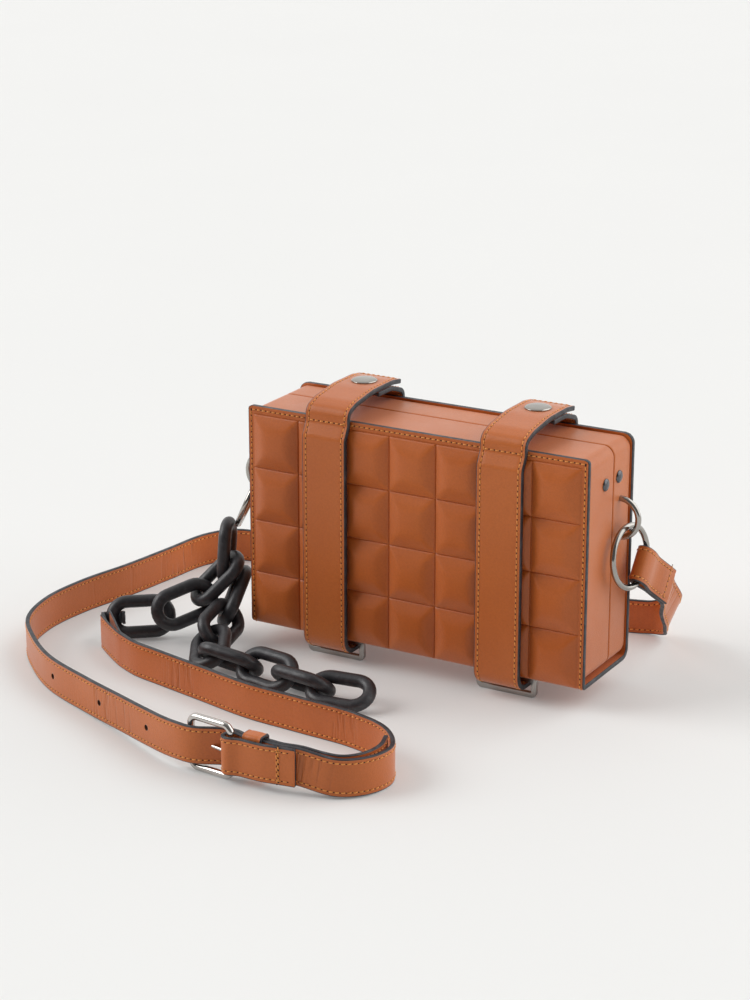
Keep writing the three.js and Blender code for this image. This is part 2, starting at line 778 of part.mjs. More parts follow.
// The end of the long strap round the right ring, from the raw end, through the ring and back
function ringFold() {
  const { centre, facing } = ringPlace(1);
  const outwards = floorKnot(longRoute[0]).at.sub(centre).projectOnPlane(facing).normalize();
  const across = facing.clone().cross(outwards);
  const wire = centre.clone().addScaledVector(outwards, ringRadius);
  const station = (reach, side) => ({
    at: wire.clone().addScaledVector(outwards, reach).addScaledVector(facing, side),
    across,
  });
  const apart = ringWire / 2 + fitGap + strapThickness / 2;
  const together = (strapThickness + fitGap) / 2;
  const turnSteps = 6;
  const turn = Array.from({ length: turnSteps + 1 }, (_, k) => {
    const angle = (Math.PI * k) / turnSteps;
    return station(-ringFoldSink - apart * Math.sin(angle), apart * Math.cos(angle));
  });
  const middleReach = (ringPlyMeet + ringFoldLength) / 2;
  return {
    folded: [station(ringFoldLength, together), station(ringPlyMeet, together), station(0, apart), ...turn],
    leaving: [
      station(0, -apart),
      station(ringPlyMeet, -together),
      station(middleReach, -together),
      station(ringFoldLength, -together),
    ],
  };
}

// Middle of the stack at the keeper, and the plies on both sides of the keeper's front
const keeperPly = (strapThickness + keeperThickness) / 2 + fitGap;
const plyPitch = strapThickness + fitGap;
const keeperPlace = heelBar.x + keeperReach;

// The doubled end of the short strap: middle between its plies, and half the distance between them
const doubledEnd = [
  { x: heelBar.x + rawEndReach, y: heelBar.y + 1.8, half: plyPitch / 2 },
  { x: heelBar.x + seamReach, y: heelBar.y + 0.5, half: plyPitch / 2 },
  { x: keeperPlace + keeperWidth / 2 + 1, y: heelBar.y, half: keeperPly },
  { x: keeperPlace - keeperWidth / 2 - 1, y: heelBar.y, half: keeperPly },
];

function shortStrap() {
  const turnSteps = 8;
  const fold = Array.from({ length: turnSteps + 1 }, (_, k) => {
    const angle = -Math.PI / 2 - (Math.PI * k) / turnSteps;
    const reach = heelFoldRadius;
    return buckleStation(heelBar.x + reach * Math.cos(angle), heelBar.y + reach * Math.sin(angle));
  });
  const frontPly = doubledEnd.map(({ x, y, half }) => buckleStation(x, y - half));
  const backPly = doubledEnd.map(({ x, y, half }) => buckleStation(x, y + half)).reverse();
  const run = smoothed([backPly.at(-1), ...shortRoute.map(floorKnot)], strapWidth, sampleStep);
  const body = strapAlong([...frontPly, ...fold, ...backPly, ...run.slice(1)], strapWidth, strapThickness);
  const layer = (rows) => strapAlong(rows.map(floorKnot), strapWidth, strapThickness / 2);
  const slot = prongAxis().cutter;
  return cut(join(body, layer(outerLayer), layer(innerLayer)), slot);
}

// The long strap, from the ring to the buckle, through the frame and along the inside of the short strap
function longStrap() {
  const { folded, leaving } = ringFold();
  const tipSide = tipBar.y - (frameWire + strapThickness) / 2 - fitGap;
  const overFold = heelBar.y + heelFoldRadius + plyPitch;
  const entry = buckleStation(tipBar.x - 4.8, tipSide + 0.5);
  const run = smoothed([...leaving.slice(1), ...longRoute.map(floorKnot), entry], strapWidth, sampleStep);
  const inside = doubledEnd
    .map(({ x, y, half }) => buckleStation(x, y + half + plyPitch))
    .reverse();
  const buckled = [
    buckleStation(tipBar.x, tipSide),
    buckleStation(tipBar.x + 5.2, tipSide + 0.9),
    buckleStation(tipBar.x + 10.2, tipSide + 3.3),
    buckleStation(tipBar.x + 15.2, tipSide + 5.6),
    buckleStation(heelBar.x - 4.2, overFold - 0.1),
    buckleStation(heelBar.x, overFold),
    ...inside,
  ];
  const tip = smoothed([inside.at(-1), ...tipRoute.map(floorKnot)], strapWidth, sampleStep).slice(1);
  const stations = [...folded, leaving[0], ...run, ...buckled, ...tip];
  const prong = prongAxis();
  const holes = spareHolePlaces([...run, ...buckled]).map(holeCutter);
  return cut(strapAlong(stations, strapWidth, strapThickness), prong.cutter, ...holes);
}

// Places of the spare holes, counted back along the strap from the hole that the prong is in
function spareHolePlaces(stations) {
  const route = [...stations].reverse();
  const start = route.findIndex(({ at }) => at.x < (heelBar.x + tipBar.x) / 2);
  const places = [];
  let walked = 0;
  for (let i = start; places.length < spareHoles; i++) {
    const span = route[i].at.distanceTo(route[i + 1].at);
    const wanted = holeSpacing * (places.length + 1);
    if (walked + span >= wanted) {
      const share = (wanted - walked) / span;
      const along = route[i + 1].at.clone().sub(route[i].at).normalize();
      places.push({ at: route[i].at.clone().lerp(route[i + 1].at, share), along, across: route[i].across });
    }
    walked += span;
  }
  return places;
}

function holeCutter({ at, along, across }) {
  const through = along.clone().cross(across);
  return cylinderAlong(through, holeDiameter, 2 * cutOver, 10).translate(...at);
}

// Buckle

// The prong's line from the heel bar past the tip bar, on the far side of it from the camera
function prongAxis() {
  const heel = new Vector2(heelBar.x, heelBar.y);
  const towards = new Vector2(tipBar.x, tipBar.y).sub(heel);
  const clear = (frameWire + prongWire) / 2 + fitGap;
  const direction = towards.clone().normalize();
  direction.rotateAround(new Vector2(), -Math.asin(clear / towards.length()));
  const length = towards.length() + prongPast;
  const along = new Vector3(direction.x, direction.y, 0);
  const start = new Vector3(heelBar.x, heelBar.y, buckleLevel);
  const rod = (diameter, from, to) =>
    cylinderAlong(along, diameter, to - from, 8).translate(
      ...start.clone().addScaledVector(along, (from + to) / 2),
    );
  const cutter = rod(prongHole, eyeRadius, length + cutOver);
  return { start, rod: rod(prongWire, eyeRadius + eyeWall / 2, length), cutter };
}

function buckleProng() {
  const { start, rod } = prongAxis();
  const top = eyeLength / 2;
  const inside = eyeRadius;
  const outside = eyeRadius + eyeWall;
  const eye = turned(
    [
      { r: inside, z: -top },
      { r: outside, z: -top },
      { r: outside, z: top },
      { r: inside, z: top },
      { r: inside, z: -top },
    ],
    12,
  ).translate(...start);
  return join(eye, rod);
}

function buckleFrame() {
  const heel = new Vector3(heelBar.x, heelBar.y, 0);
  const tip = new Vector3(tipBar.x, tipBar.y, 0);
  const along = heel.clone().sub(tip);
  const length = along.length();
  const width = frameHeight - frameWire;
  const straight = width / 2 - frameCorner + fitGap;
  const loop = wireLoop({
    length,
    width,
    corner: frameCorner,
    cornerSteps: 3,
    sides: wireSides,
    radiusAt: (x, y) => (x > 0 && Math.abs(y) < straight ? heelWire : frameWire) / 2,
  });
  along.normalize();
  const turn = new THREE.Matrix4().makeBasis(along, axisZ, along.clone().cross(axisZ));
  const middle = heel.add(tip).multiplyScalar(0.5);
  return loop.applyMatrix4(turn).translate(middle.x, middle.y, floorLevel + frameHeight / 2);
}

// Band round the main ply of the short strap and the free end of the long strap
function strapKeeper() {
  const front = heelBar.y + keeperPly - strapThickness / 2 - fitGap;
  const back = heelBar.y + keeperPly + plyPitch + strapThickness / 2 + fitGap;
  const reach = strapWidth / 2 + keeperSlack;
  const view = (wall) =>
    rectangle(front - wall, buckleLevel - reach - wall, back + wall, buckleLevel + reach + wall, wall, wall);
  const band = extrudeAlongX(view(keeperThickness), keeperWidth);
  return cut(band, extrudeAlongX(view(0), keeperWidth + cutOver)).translate(keeperPlace, 0, 0);
}

// Chain and tongue

function linkTurn({ heading, pitch, roll }) {
  const turns = [roll, -pitch, heading].map(THREE.MathUtils.degToRad);
  return new THREE.Euler(...turns, "ZYX");
}

const linkPlace = ({ out, along, up }) => new Vector3(-boxWidth / 2 - out, along, floorLevel + up);

function strapEndLoop() {
  const place = chainPlaces[tongueLink];
  const turn = linkTurn(place);
  const [along, across, near] = [
    [1, 0, 0],
    [0, 1, 0],
    [0, 0, -1],
  ].map((axis) => new Vector3(...axis).applyEuler(turn));
  const wire = linkPlace(place).addScaledVector(along, (linkLength - linkWire) / 2);
  const clear = (linkWire + tongueThickness) / 2 + fitGap;
  const root = tongueRoot.map(({ x, y, z }) => ({ at: new Vector3(x, y, z), across: axisZ }));
  const loop = tongueTurn.map((row) => ({
    at: wire.clone().addScaledVector(along, row.past * clear).addScaledVector(near, row.near * clear),
    across,
  }));
  return strapAlong(smoothed([...root, ...loop], tongueWidth, sampleStep / 2), tongueWidth, tongueThickness);
}

// Places

const named = (name, geometry, material) => {
  const mesh = new THREE.Mesh(geometry, material);
  mesh.name = name;
  return mesh;
};

const bag = new THREE.Group();

bag.add(named("quilted_cover", quiltedCover(), quiltedLeather));
bag.add(named("front_shell", frontShell(), leather));
bag.add(named("back_shell", backShell(), leather));

const sides = [
  { name: "left", sign: -1, x: closingLeft },
  { name: "right", sign: 1, x: closingRight },
];

sides.forEach(({ name, sign, x }) => {
  const strap = named(`closing_strap_${name}`, closingStrap(), leather);
  strap.position.x = x;
  const cap = named(`snap_cap_${name}`, snapCap(), darkNickel);
  cap.position.set(x, snapOffset, boxHeight + flapRise + closingThickness);
  const stud = named(`snap_stud_${name}`, snapStud(), darkNickel);
  stud.position.set(x, snapOffset, boxHeight + flapRise - fitGap);
  bag.add(strap, cap, stud);
  [
    { end: "front", y: -loopOffset },
    { end: "back", y: loopOffset },
  ].forEach(({ end, y }) => {
    const loop = named(`strap_loop_${end}_${name}`, strapLoop(), satinSteel);
    loop.position.set(x, y, 0);
    bag.add(loop);
  });
  [
    { end: "front", y: seamOffset - rivetFrontReach },
    { end: "back", y: seamOffset + rivetBackReach },
  ].forEach(({ end, y }) => {
    const piece = named(`rivet_${name}_${end}`, rivet(), darkNickel);
    piece.position.set(sign * shellSide, y, rivetLevel);
    piece.rotation.z = sign > 0 ? 0 : Math.PI;
    bag.add(piece);
  });
  const halfRing = named(`bail_${name}`, bail(), darkNickel);
  halfRing.position.set(sign * shellSide, sign * bailOffset, bailLevel);
  halfRing.rotation.z = sign > 0 ? 0 : Math.PI;
  bag.add(halfRing);
  const { centre, facing } = ringPlace(sign);
  const ring = named(`round_ring_${name}`, roundRing(), darkNickel);
  ring.position.copy(centre);
  ring.quaternion.setFromUnitVectors(axisZ, facing);
  bag.add(ring);
});

bag.add(named("shoulder_strap_long", longStrap(), leather));
bag.add(named("shoulder_strap_short", shortStrap(), leather));
bag.add(named("buckle_frame", buckleFrame(), darkNickel));
bag.add(named("buckle_prong", buckleProng(), darkNickel));
bag.add(named("strap_keeper", strapKeeper(), leather));
bag.add(named("strap_end_loop", strapEndLoop(), leather));

chainPlaces.forEach((place, i) => {
  const link = named(`chain_link_${String(i + 1).padStart(2, "0")}`, chainLink(), blackResin);
  link.position.copy(linkPlace(place));
  link.rotation.copy(linkTurn(place));
  bag.add(link);
});

export default bag;
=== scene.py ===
# Looks of the box bag. Sizes are in millimetres here and become metres when a mesh is made.
import math

import bmesh
import bpy
import numpy as np
from mathutils import Matrix, Vector


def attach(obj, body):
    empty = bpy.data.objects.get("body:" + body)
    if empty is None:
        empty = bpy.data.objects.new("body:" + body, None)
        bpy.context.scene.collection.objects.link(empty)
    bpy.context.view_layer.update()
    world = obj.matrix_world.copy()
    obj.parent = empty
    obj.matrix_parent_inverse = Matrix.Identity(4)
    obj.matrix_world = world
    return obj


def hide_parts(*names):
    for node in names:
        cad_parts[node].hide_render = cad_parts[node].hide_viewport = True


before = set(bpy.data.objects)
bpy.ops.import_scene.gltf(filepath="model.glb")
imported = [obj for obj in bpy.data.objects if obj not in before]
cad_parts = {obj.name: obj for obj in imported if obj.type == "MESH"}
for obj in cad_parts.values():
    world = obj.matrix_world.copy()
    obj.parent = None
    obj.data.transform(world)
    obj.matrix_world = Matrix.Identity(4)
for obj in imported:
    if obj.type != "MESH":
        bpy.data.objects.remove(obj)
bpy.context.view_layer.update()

MM = 0.001
UP = np.array([0.0, 0.0, 1.0])

# Box, outside sizes over the cover
BOX_WIDTH = 200.0
BOX_HEIGHT = 123.4
BOX_DEPTH = 55.2
FIT_GAP = 0.3  # air between two pieces that touch

# Quilted cover
COVER_THICKNESS = 2.6
FRONT_FOLD = 3.0
BACK_FOLD = 6.0
FRONT_CORNER = 2.0
BACK_CORNER = 5.0
PUFF_COLUMNS = 7
PUFF_ROWS = 4
PUFF_HEIGHT = 3.6
VALLEY_HEIGHT = 0.15
SIDE_BORDER = 3.8
TOP_BORDER = 4.4
QUILT_END = BOX_HEIGHT - 0.6  # along the cover from its front's top
CREASE_DEPTH = 0.45  # of the pressed line between two puffs
BEVEL_SHARE = 0.27  # of a puff's width, from its edge to where the slope ends
BEVEL_POWER = 4.0  # a higher one turns the slope into the top more sharply
PUFF_CROWN = 0.06  # share of the height that swells slowly towards the middle
MITRE_SOFTNESS = 0.10
VALLEY_LIMIT = 0.005
# Places of the skin's points over half a puff, and over the top border with its groove
HALF_PUFF = [0, 0.012, 0.03, 0.06, 0.1, 0.15, 0.2, 0.24, 0.28, 0.32, 0.38, 0.44, 0.5]
BORDER_PLACES = [0, 0.7, 1.4, 2.0, 2.6, 3.4, 4.2]
PLAIN_START = 1.2
PLAIN_STEP = 1.4
INNER_COLUMNS = 21
BORDER_STITCH = 2.0  # from the cover's edges to their rows of stitches
SIDE_STITCH = BOX_WIDTH / 2 - BORDER_STITCH
BORDER_GROOVE = 0.15
BORDER_GROOVE_HALF = 0.5

# Shells: two trays with their mouths at the seam
SHELL_WALL = 3.0
SHELL_CORNER = 6.0
SHELL_INSET = 1.0
LIP_ROUND = 0.9
SEAM = 4.5  # behind the middle of the box
SEAM_GAP = 0.5
SIDE_WALL = BOX_WIDTH / 2 - SHELL_INSET

# Closing straps
CLOSING_WIDTH = 26.0
CLOSING_THICKNESS = 2.6
CLOSING_PLACES = {"left": -49.7, "right": 53.3}
OVER_QUILT = 4.0
UNDER_BOX = 3.6
STRAP_FRONT_BEND = 8.0
STRAP_BACK_BEND = 5.0
SNAP_OFFSET = 9.0  # behind the middle of the box
FLAP_RISE = 8.8
FLAP_DROP = 1.3
FLAP_FLAT_FRONT = 12.0
FLAP_FLAT_BACK = 8.5
FLAP_TIP = 17.0
FLAP_SHOULDER = 29.5  # how far before the snap the flap's slope changes
FLAP_SHOULDER_DROP = 2.5
FLAP_CORNER = 4.6
TAB_FLAT = 7.0
TAB_CORNER = 2.9
OVER_BORDER = 2.5  # the strap leaves the quilting's border this far below the top
ONTO_QUILT = 9.5  # and lies on the puffs from this far below the top
FLAP_CREST = 60.0  # radii of the strap's bends
FLAP_SHOULDER_BEND = 20.0
FLAP_SAG = 25.0
FLAP_TURN = 5.0
TAB_TURN = 4.5
TAB_CREST = 20.0
CROSS_SEAM_DROP = 1.4  # the row of stitches across the strap, below the box's top
FLAP_LEVEL = BOX_HEIGHT + FLAP_RISE + CLOSING_THICKNESS / 2

# Strap loops under the box
LOOP_LENGTH = 35.0
LOOP_BAR = 3.0
LOOP_WIRE = 3.1  # of the finished loop, on all four sides
LOOP_DEPTH = 2.5
LOOP_OFFSET = 21.0
LOOP_OPENING = 5.7
FLOOR = -(FIT_GAP + 2 * LOOP_BAR + LOOP_OPENING)

# Rivets, bails and rings
RIVET_DROP = 18.7
RIVET_FRONT_REACH = 9.9
RIVET_BACK_REACH = 6.2
BAIL_DROP = 41.5
BAIL_OFFSET = 13.4
BAIL_RADIUS = 10.4
RING_RADIUS = 16.2
WIRE = 3.2

# Section of a flat strap: rounded painted edges, and grooves under the stitches
EDGE_ROUND = 0.55
EDGE_ANGLES = np.radians([67, 45, 22, 0])
END_THINNING = 1.6  # of a strap's rounded ends, for each unit that they draw in
GROOVE = 0.16
GROOVE_HALF = 0.6
GROOVE_SIDE = 0.7
GROOVE_CLEAR = 1.6

# Stitches
STITCH_PITCH = 3.0
STITCH_LENGTH = 2.25
STITCH_SLANT = 0.12
STITCH_INSET = 2.3
THREAD = 0.36
NEEDLE_HOLE = 0.5
ROW_POINTS = 20

# Shoulder strap
STRAP_WIDTH = 19.5
STRAP_THICKNESS = 2.2
STRAP_RAISE = 4.5
STRAP_MIDDLE = FLOOR + STRAP_WIDTH / 2
BUCKLE_LEVEL = STRAP_MIDDLE + STRAP_RAISE
PLY = STRAP_THICKNESS + FIT_GAP
FOLD_RADIUS = 3.8
RING_FOLD_LENGTH = 27.0  # from the ring's wire to the raw end of the folded-back ply
RING_FOLD_SEAM = 17.5
RING_PLY_MEET = 8.0
RING_FOLD_SINK = 4.1  # the straight fold crosses the round wire, so it hangs this much lower
FOLD_STATIONS = 25  # more than the strap has from its raw end to the ring
HOLE_SPACING = 45.0
SPARE_HOLES = 3
HOLE_RADIUS = 1.5

# Buckle and keeper
HEEL = np.array([-11.8, -184.7])
TIP = np.array([-36.2, -182.2])
FRAME_HEIGHT = 30.0
FRAME_CORNER = 4.0
FRAME_WIRE = 3.7
HEEL_WIRE = 2.6
PRONG_WIRE = 2.0
PRONG_REACH = 2.0
PRONG_EYE = [(1.55, -1.3), (1.7, -1.5), (2.2, -1.5), (2.4, -1.3)]
KEEPER_WIDTH = 11.0
KEEPER_THICKNESS = 1.5
KEEPER_ROOM = 0.5
KEEPER_CORNER = 1.3
KEEPER_STITCH_INSET = 1.8
KEEPER_PLY = (STRAP_THICKNESS + KEEPER_THICKNESS) / 2 + FIT_GAP
KEEPER_REACH = 11.8  # from the heel bar
SEAM_REACH = 26.8
RAW_REACH = 35.8
KEEPER_X = HEEL[0] + KEEPER_REACH
# The doubled end of the short strap: middle between the plies, and half the distance between them
DOUBLED_END = [
    (HEEL[0] + RAW_REACH, HEEL[1] + 1.8, PLY / 2),
    (HEEL[0] + SEAM_REACH, HEEL[1] + 0.5, PLY / 2),
    (KEEPER_X + KEEPER_WIDTH / 2 + 1, HEEL[1], KEEPER_PLY),
    (KEEPER_X - KEEPER_WIDTH / 2 - 1, HEEL[1], KEEPER_PLY),
]
# The long strap's way past the tip bar, from its place there
PAST_TIP_BAR = [(-4.8, 0.5), (0, 0), (5.2, 0.9), (10.2, 3.3), (15.2, 5.6)]

# Chain
LINK_LENGTH = 38.5
LINK_WIDTH = 24.0
LINK_WIRE = 7.0

# Light: a world that is brighter behind the bag, and two soft lamps
WORLD_COLOUR = (1.0, 0.995, 0.98, 1)
WORLD_BRIGHT = 0.95
WORLD_DARK = 0.15
DARK_SIDE = (0.42, -0.9, 0.1)
DARK_FROM = -0.6
DARK_TO = 0.8
FLOOR_GLOW = 0.12
FLOOR_SIZE = 9.0  # metres from the middle to each side
# Name, direction towards the lamp, strength, and apparent size in degrees
SUNS = [
    ("key", (-0.8, -0.4, 0.6), 1.6, 40),
    ("rim", (0.8, 0.55, 0.6), 1.6, 75),
]

# Camera: azimuth and elevation in degrees
CAMERA_LENS = 91.97
CAMERA_ANGLES = (29.80, 18.52)
CAMERA_PLACE = (606.35, -1125.15, 506.68)

# Places of the rings: middle, and the way each faces
RINGS = {
    "right": ((105.5, 13.4, 61.7), (0.984, -0.135, 0.115)),
    "left": ((-111.7, -8.3, 64.2), (0.854, 0.335, -0.398)),
}

# Route of the long strap: x, y, lift of its middle, lean of its upper edge along x and y.
# Lifts and leans that are left out are 0.
LONG_ROUTE = [
    (106.5, 62, 26, 0.1, 0.5),
    (104, 76, 12.7, 0.28, 0.25),
    (97.5, 86.5, 4.7, 0.38, 0.05),
    (88.5, 91, 1.1, 0.25, 0),
    (78.5, 89.5, 0.2, 0.08, 0),
    (66, 87),
    (40, 85),
    (-60, 84.5),
    (-160, 84),
    (-180, 79),
    (-190, 64),
    (-195, 32),
    (-200, -2),
    (-207, -36),
    (-208, -68),
    (-199, -97),
    (-180, -118),
    (-155, -137),
    (-119, -153, 0.4),
    (-90, -165, 1.4),
    (-70, -174, 2.6),
    (-52, -181.5, 3.7),
]
TIP_ROUTE = [
    (33, -177.1, 2.9),
    (41.5, -173.9, 1.6),
    (46.5, -169.5, 1.2),
    (50.3, -161.5, 0.8),
    (51.3, -151, 0.5),
    (48.3, -139.8, 0.5),
]
SHORT_ROUTE = [
    (43, -177.2, 1.3),
    (54, -165, 0.5),
    (56, -148),
    (43, -131),
    (20, -122.5),
    (-14, -119.5),
    (-46, -117),
    (-78, -110),
    (-109, -103),
    (-128, -98.5),
    (-142, -92),
]
OUTER_LAYER = [(-137, -94.9), (-142, -92.6), (-150, -87.3), (-158, -81.6), (-166.5, -75)]
INNER_LAYER = [(-136.5, -93.9), (-141.7, -91.4), (-149, -84.6), (-157, -76.4), (-165.5, -68)]
TONGUE_ROOT = [(-155.5, -81.2, -1.5), (-166.3, -71.6, 0.5)]
# The tongue's way round the end wire of its link: shares of the clear radius
TONGUE_TURN = [
    (1.06, 1.2),
    (1.08, 0),
    (0.82, -0.85),
    (-0.1, -1.24),
    (-1.06, -0.98),
    (-1.38, 0),
    (-1.4, 1.9),
]
TONGUE_WIDTH, TONGUE_THICKNESS = 7.0, 1.6

# Links: x, y, z of the middle, then heading, pitch and roll in degrees
LINKS = [
    (-121.8, -17.4, 33.9, -81, -80, 78),
    (-121.7, -27.7, 21.2, -139, -44, -9),
    (-134.2, -41.7, 8.2, -131, -17, 104),
    (-157.1, -51, -0.1, -144, -1, 109),
    (-112.5, -25, 11.7, -82, -37, 55),
    (-108.1, -45.5, 2.9, -82, -7, 128),
    (-100.9, -67.3, -1.6, -60, -10, -155),
    (-82.6, -75.6, -1.9, 2, -6, 137),
    (-58.8, -77.3, -2.6, -8, 0, 43),
    (-35.1, -80, -2.9, -7, 0, 139),
    (-12.6, -80, -3.9, 7, 0, 28),
]
TONGUE_LINK = 3


# Vectors and lines


def unit(v):
    v = np.asarray(v, float)
    return v / np.linalg.norm(v, axis=-1, keepdims=True)


def xyz(x, y, z):
    """Points from their coordinates, each one number or many."""
    return np.stack(np.broadcast_arrays(x, y, z), -1)


def turned_in_plane(v, angle):
    c, s = math.cos(angle), math.sin(angle)
    return np.array([c * v[0] - s * v[1], s * v[0] + c * v[1]])


def rounded_corner(before, here, after, radius, steps):
    """Points where a flat line turns at a corner, as an arc."""
    if not radius:
        return [np.array(here, float)]
    come, go = unit(np.subtract(here, before)), unit(np.subtract(after, here))
    turn = math.atan2(come[0] * go[1] - come[1] * go[0], float(come @ go))
    side = math.copysign(1, turn)
    start = np.array(here) - come * radius * math.tan(abs(turn) / 2)
    centre = start + turned_in_plane(come, math.pi / 2) * side * radius
    return [
        centre - turned_in_plane(turned_in_plane(come, turn * k / steps), math.pi / 2) * side * radius
        for k in range(steps + 1)
    ]


def rounded_line(corners, steps):
    """Open line through (x, y, radius) corners."""
    points = [np.array(corners[0][:2], float)]
    for a, b, c in zip(corners, corners[1:], corners[2:]):
        points += rounded_corner(a[:2], b[:2], c[:2], b[2], steps)
    return np.array(points + [np.array(corners[-1][:2], float)])


def rounded_rectangle(left, bottom, right, top, radii, steps):
    """Closed outline; radii are those of the bottom and the top corners."""
    corners = [(left, bottom), (right, bottom), (right, top), (left, top)]
    points = []
    for i, here in enumerate(corners):
        radius = radii[0] if i < 2 else radii[1]
        points += rounded_corner(corners[i - 1], here, corners[(i + 1) % 4], radius, steps)
    return np.array(points)


def spaced(line, step):
    """The same line with more points, none further apart than step."""
    out = [line[0]]
    for a, b in zip(line, line[1:]):
        count = max(1, math.ceil(np.linalg.norm(b - a) / step))
        out += [a + (b - a) * k / count for k in range(1, count + 1)]
    return np.array(out)


def smooth_curve(knots, counts):
    """Centripetal curve through knots, with counts[i] points in span i."""
    p = np.array(knots, float)
    p = np.vstack([2 * p[0] - p[1], p, 2 * p[-1] - p[-2]])
    out = [p[1]]
    for i, count in enumerate(counts):
        a, b, c, d = p[i : i + 4]
        ab, bc, cd = (max(np.linalg.norm(w - v), 1e-6) ** 0.5 for v, w in ((a, b), (b, c), (c, d)))
        leave = bc * ((b - a) / ab - (c - a) / (ab + bc) + (c - b) / bc)
        reach = bc * ((c - b) / bc - (d - b) / (bc + cd) + (d - c) / cd)
        for k in range(1, count + 1):
            t = k / count
            cubic = (-3 * b + 3 * c - 2 * leave - reach) * t**2 + (2 * b - 2 * c + leave + reach) * t**3
            out.append(b + leave * t + cubic)
    return np.array(out)


def smooth_strap(knots, width, step=2.0):
    """Middles and width directions along a strap through (middle, across) knots."""
    at = np.array([k[0] for k in knots], float)
    across = unit([k[1] for k in knots])
    counts = [max(1, round(np.linalg.norm(b - a) / step)) for a, b in zip(at, at[1:])]
    high = smooth_curve(at + across * width / 2, counts)
    low = smooth_curve(at - across * width / 2, counts)
    return (high + low) / 2, unit(high - low)


def strap_axes(at, across):
    """Forward, width and thickness directions at each station."""
    forward = unit(np.gradient(at, axis=0))
    level = unit(across - (across * forward).sum(1, keepdims=True) * forward)
    return forward, level, np.cross(forward, level)


def lengths(line):
    return np.concatenate([[0], np.cumsum(np.linalg.norm(np.diff(line, axis=0), axis=1))])


# Meshes


def loft(rings, kinds=None, closed=False, cap=1, uv=None):
    """Skin over rings of points, as a part.

    A part is its points, its faces, a material index for each face, and (along, across) places.
    """
    rings = np.array(rings, float)
    n, m = rings.shape[:2]
    kinds = [0] * m if kinds is None else kinds
    faces, marks = [], []
    for i in range(n if closed else n - 1):
        j = (i + 1) % n
        for k in range(m):
            after = (k + 1) % m
            faces.append((i * m + k, i * m + after, j * m + after, j * m + k))
            marks.append(kinds[k])
    if not closed:
        faces += [tuple(range(m))[::-1], tuple(range((n - 1) * m, n * m))]
        marks += [cap, cap]
    if uv is None:
        along = lengths(rings.mean(1))
        around = lengths(rings[0])
        uv = np.stack(np.broadcast_arrays(along[:, None], around[None, :]), -1)
    return rings.reshape(-1, 3), faces, marks, np.array(uv, float).reshape(-1, 2)


def make_piece(name, parts, materials, smooth_angle=50):
    """One object from parts, in metres, riding on the bag."""
    points = np.vstack([p[0] for p in parts]) * MM
    uvs = np.vstack([p[3] for p in parts]) * MM
    faces, marks, base = [], [], 0
    for p in parts:
        faces += [tuple(base + v for v in f) for f in p[1]]
        marks += list(p[2])
        base += len(p[0])
    mesh = bpy.data.meshes.new(name)
    mesh.from_pydata(points.tolist(), [], faces)
    mesh.polygons.foreach_set("material_index", marks)
    layer = mesh.uv_layers.new(name="UVMap")
    corner = np.empty(len(mesh.loops), np.int32)
    mesh.loops.foreach_get("vertex_index", corner)
    layer.data.foreach_set("uv", uvs[corner].astype(np.float32).ravel())
    shell = bmesh.new()
    shell.from_mesh(mesh)
    bmesh.ops.recalc_face_normals(shell, faces=shell.faces)
    shell.to_mesh(mesh)
    shell.free()
    mesh.shade_smooth()
    mesh.set_sharp_from_angle(angle=math.radians(smooth_angle))
    for material in materials:
        mesh.materials.append(material)
    piece = bpy.data.objects.new(name, mesh)
    bpy.context.scene.collection.objects.link(piece)
    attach(piece, "root")
    return piece


def dress(node, parts, materials, slot, smooth_angle=50):
    """The finished piece that stands for a node of the frame."""
    piece = make_piece("fine_" + node, parts, materials, smooth_angle)
    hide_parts(node)
    return piece


def tube(line, radius, sides=20, closed=False):
    """Round wire along a line; radius is one size or one for each point."""
    line = np.array(line, float)
    if closed:
        forward = unit(np.roll(line, -1, 0) - np.roll(line, 1, 0))
    else:
        forward = unit(np.gradient(line, axis=0))
    side = np.zeros_like(line)
    start = np.cross(forward[0], UP)
    side[0] = unit(start if np.linalg.norm(start) > 0.1 else np.cross(forward[0], [1, 0, 0]))
    for i in range(1, len(line)):
        side[i] = unit(side[i - 1] - (side[i - 1] @ forward[i]) * forward[i])
    other = np.cross(forward, side)
    radius = np.broadcast_to(np.asarray(radius, float), len(line))[:, None, None]
    angle = np.linspace(0, 2 * np.pi, sides, endpoint=False)
    rings = line[:, None] + radius * (
        np.cos(angle)[None, :, None] * side[:, None] + np.sin(angle)[None, :, None] * other[:, None]
    )
    return loft(rings, closed=closed, cap=0)


def closed_band(line, section, level, kinds=None):
    """Band along a closed line; the section's places are along level and through the band."""
    forward = unit(np.roll(line, -1, 0) - np.roll(line, 1, 0))
    through = np.cross(forward, level)
    rings = line[:, None] + section[None, :, :1] * level + section[None, :, 1:] * through[:, None]
    return loft(rings, kinds, closed=True)


def turned_part(profile, centre, axis, sides):
    """Part turned round an axis through centre from (radius, height) pairs, closed over both ends."""
    axis = unit(axis)
    side = unit(np.cross(axis, [0.3, 0.9, 0.1]))
    other = np.cross(axis, side)
    angle = np.linspace(0, 2 * np.pi, sides, endpoint=False)
    wheel = np.cos(angle)[:, None] * side + np.sin(angle)[:, None] * other
    rings = [np.array(centre) + axis * h + wheel * max(r, 0.02) for r, h in profile]
    return loft(rings, cap=0)


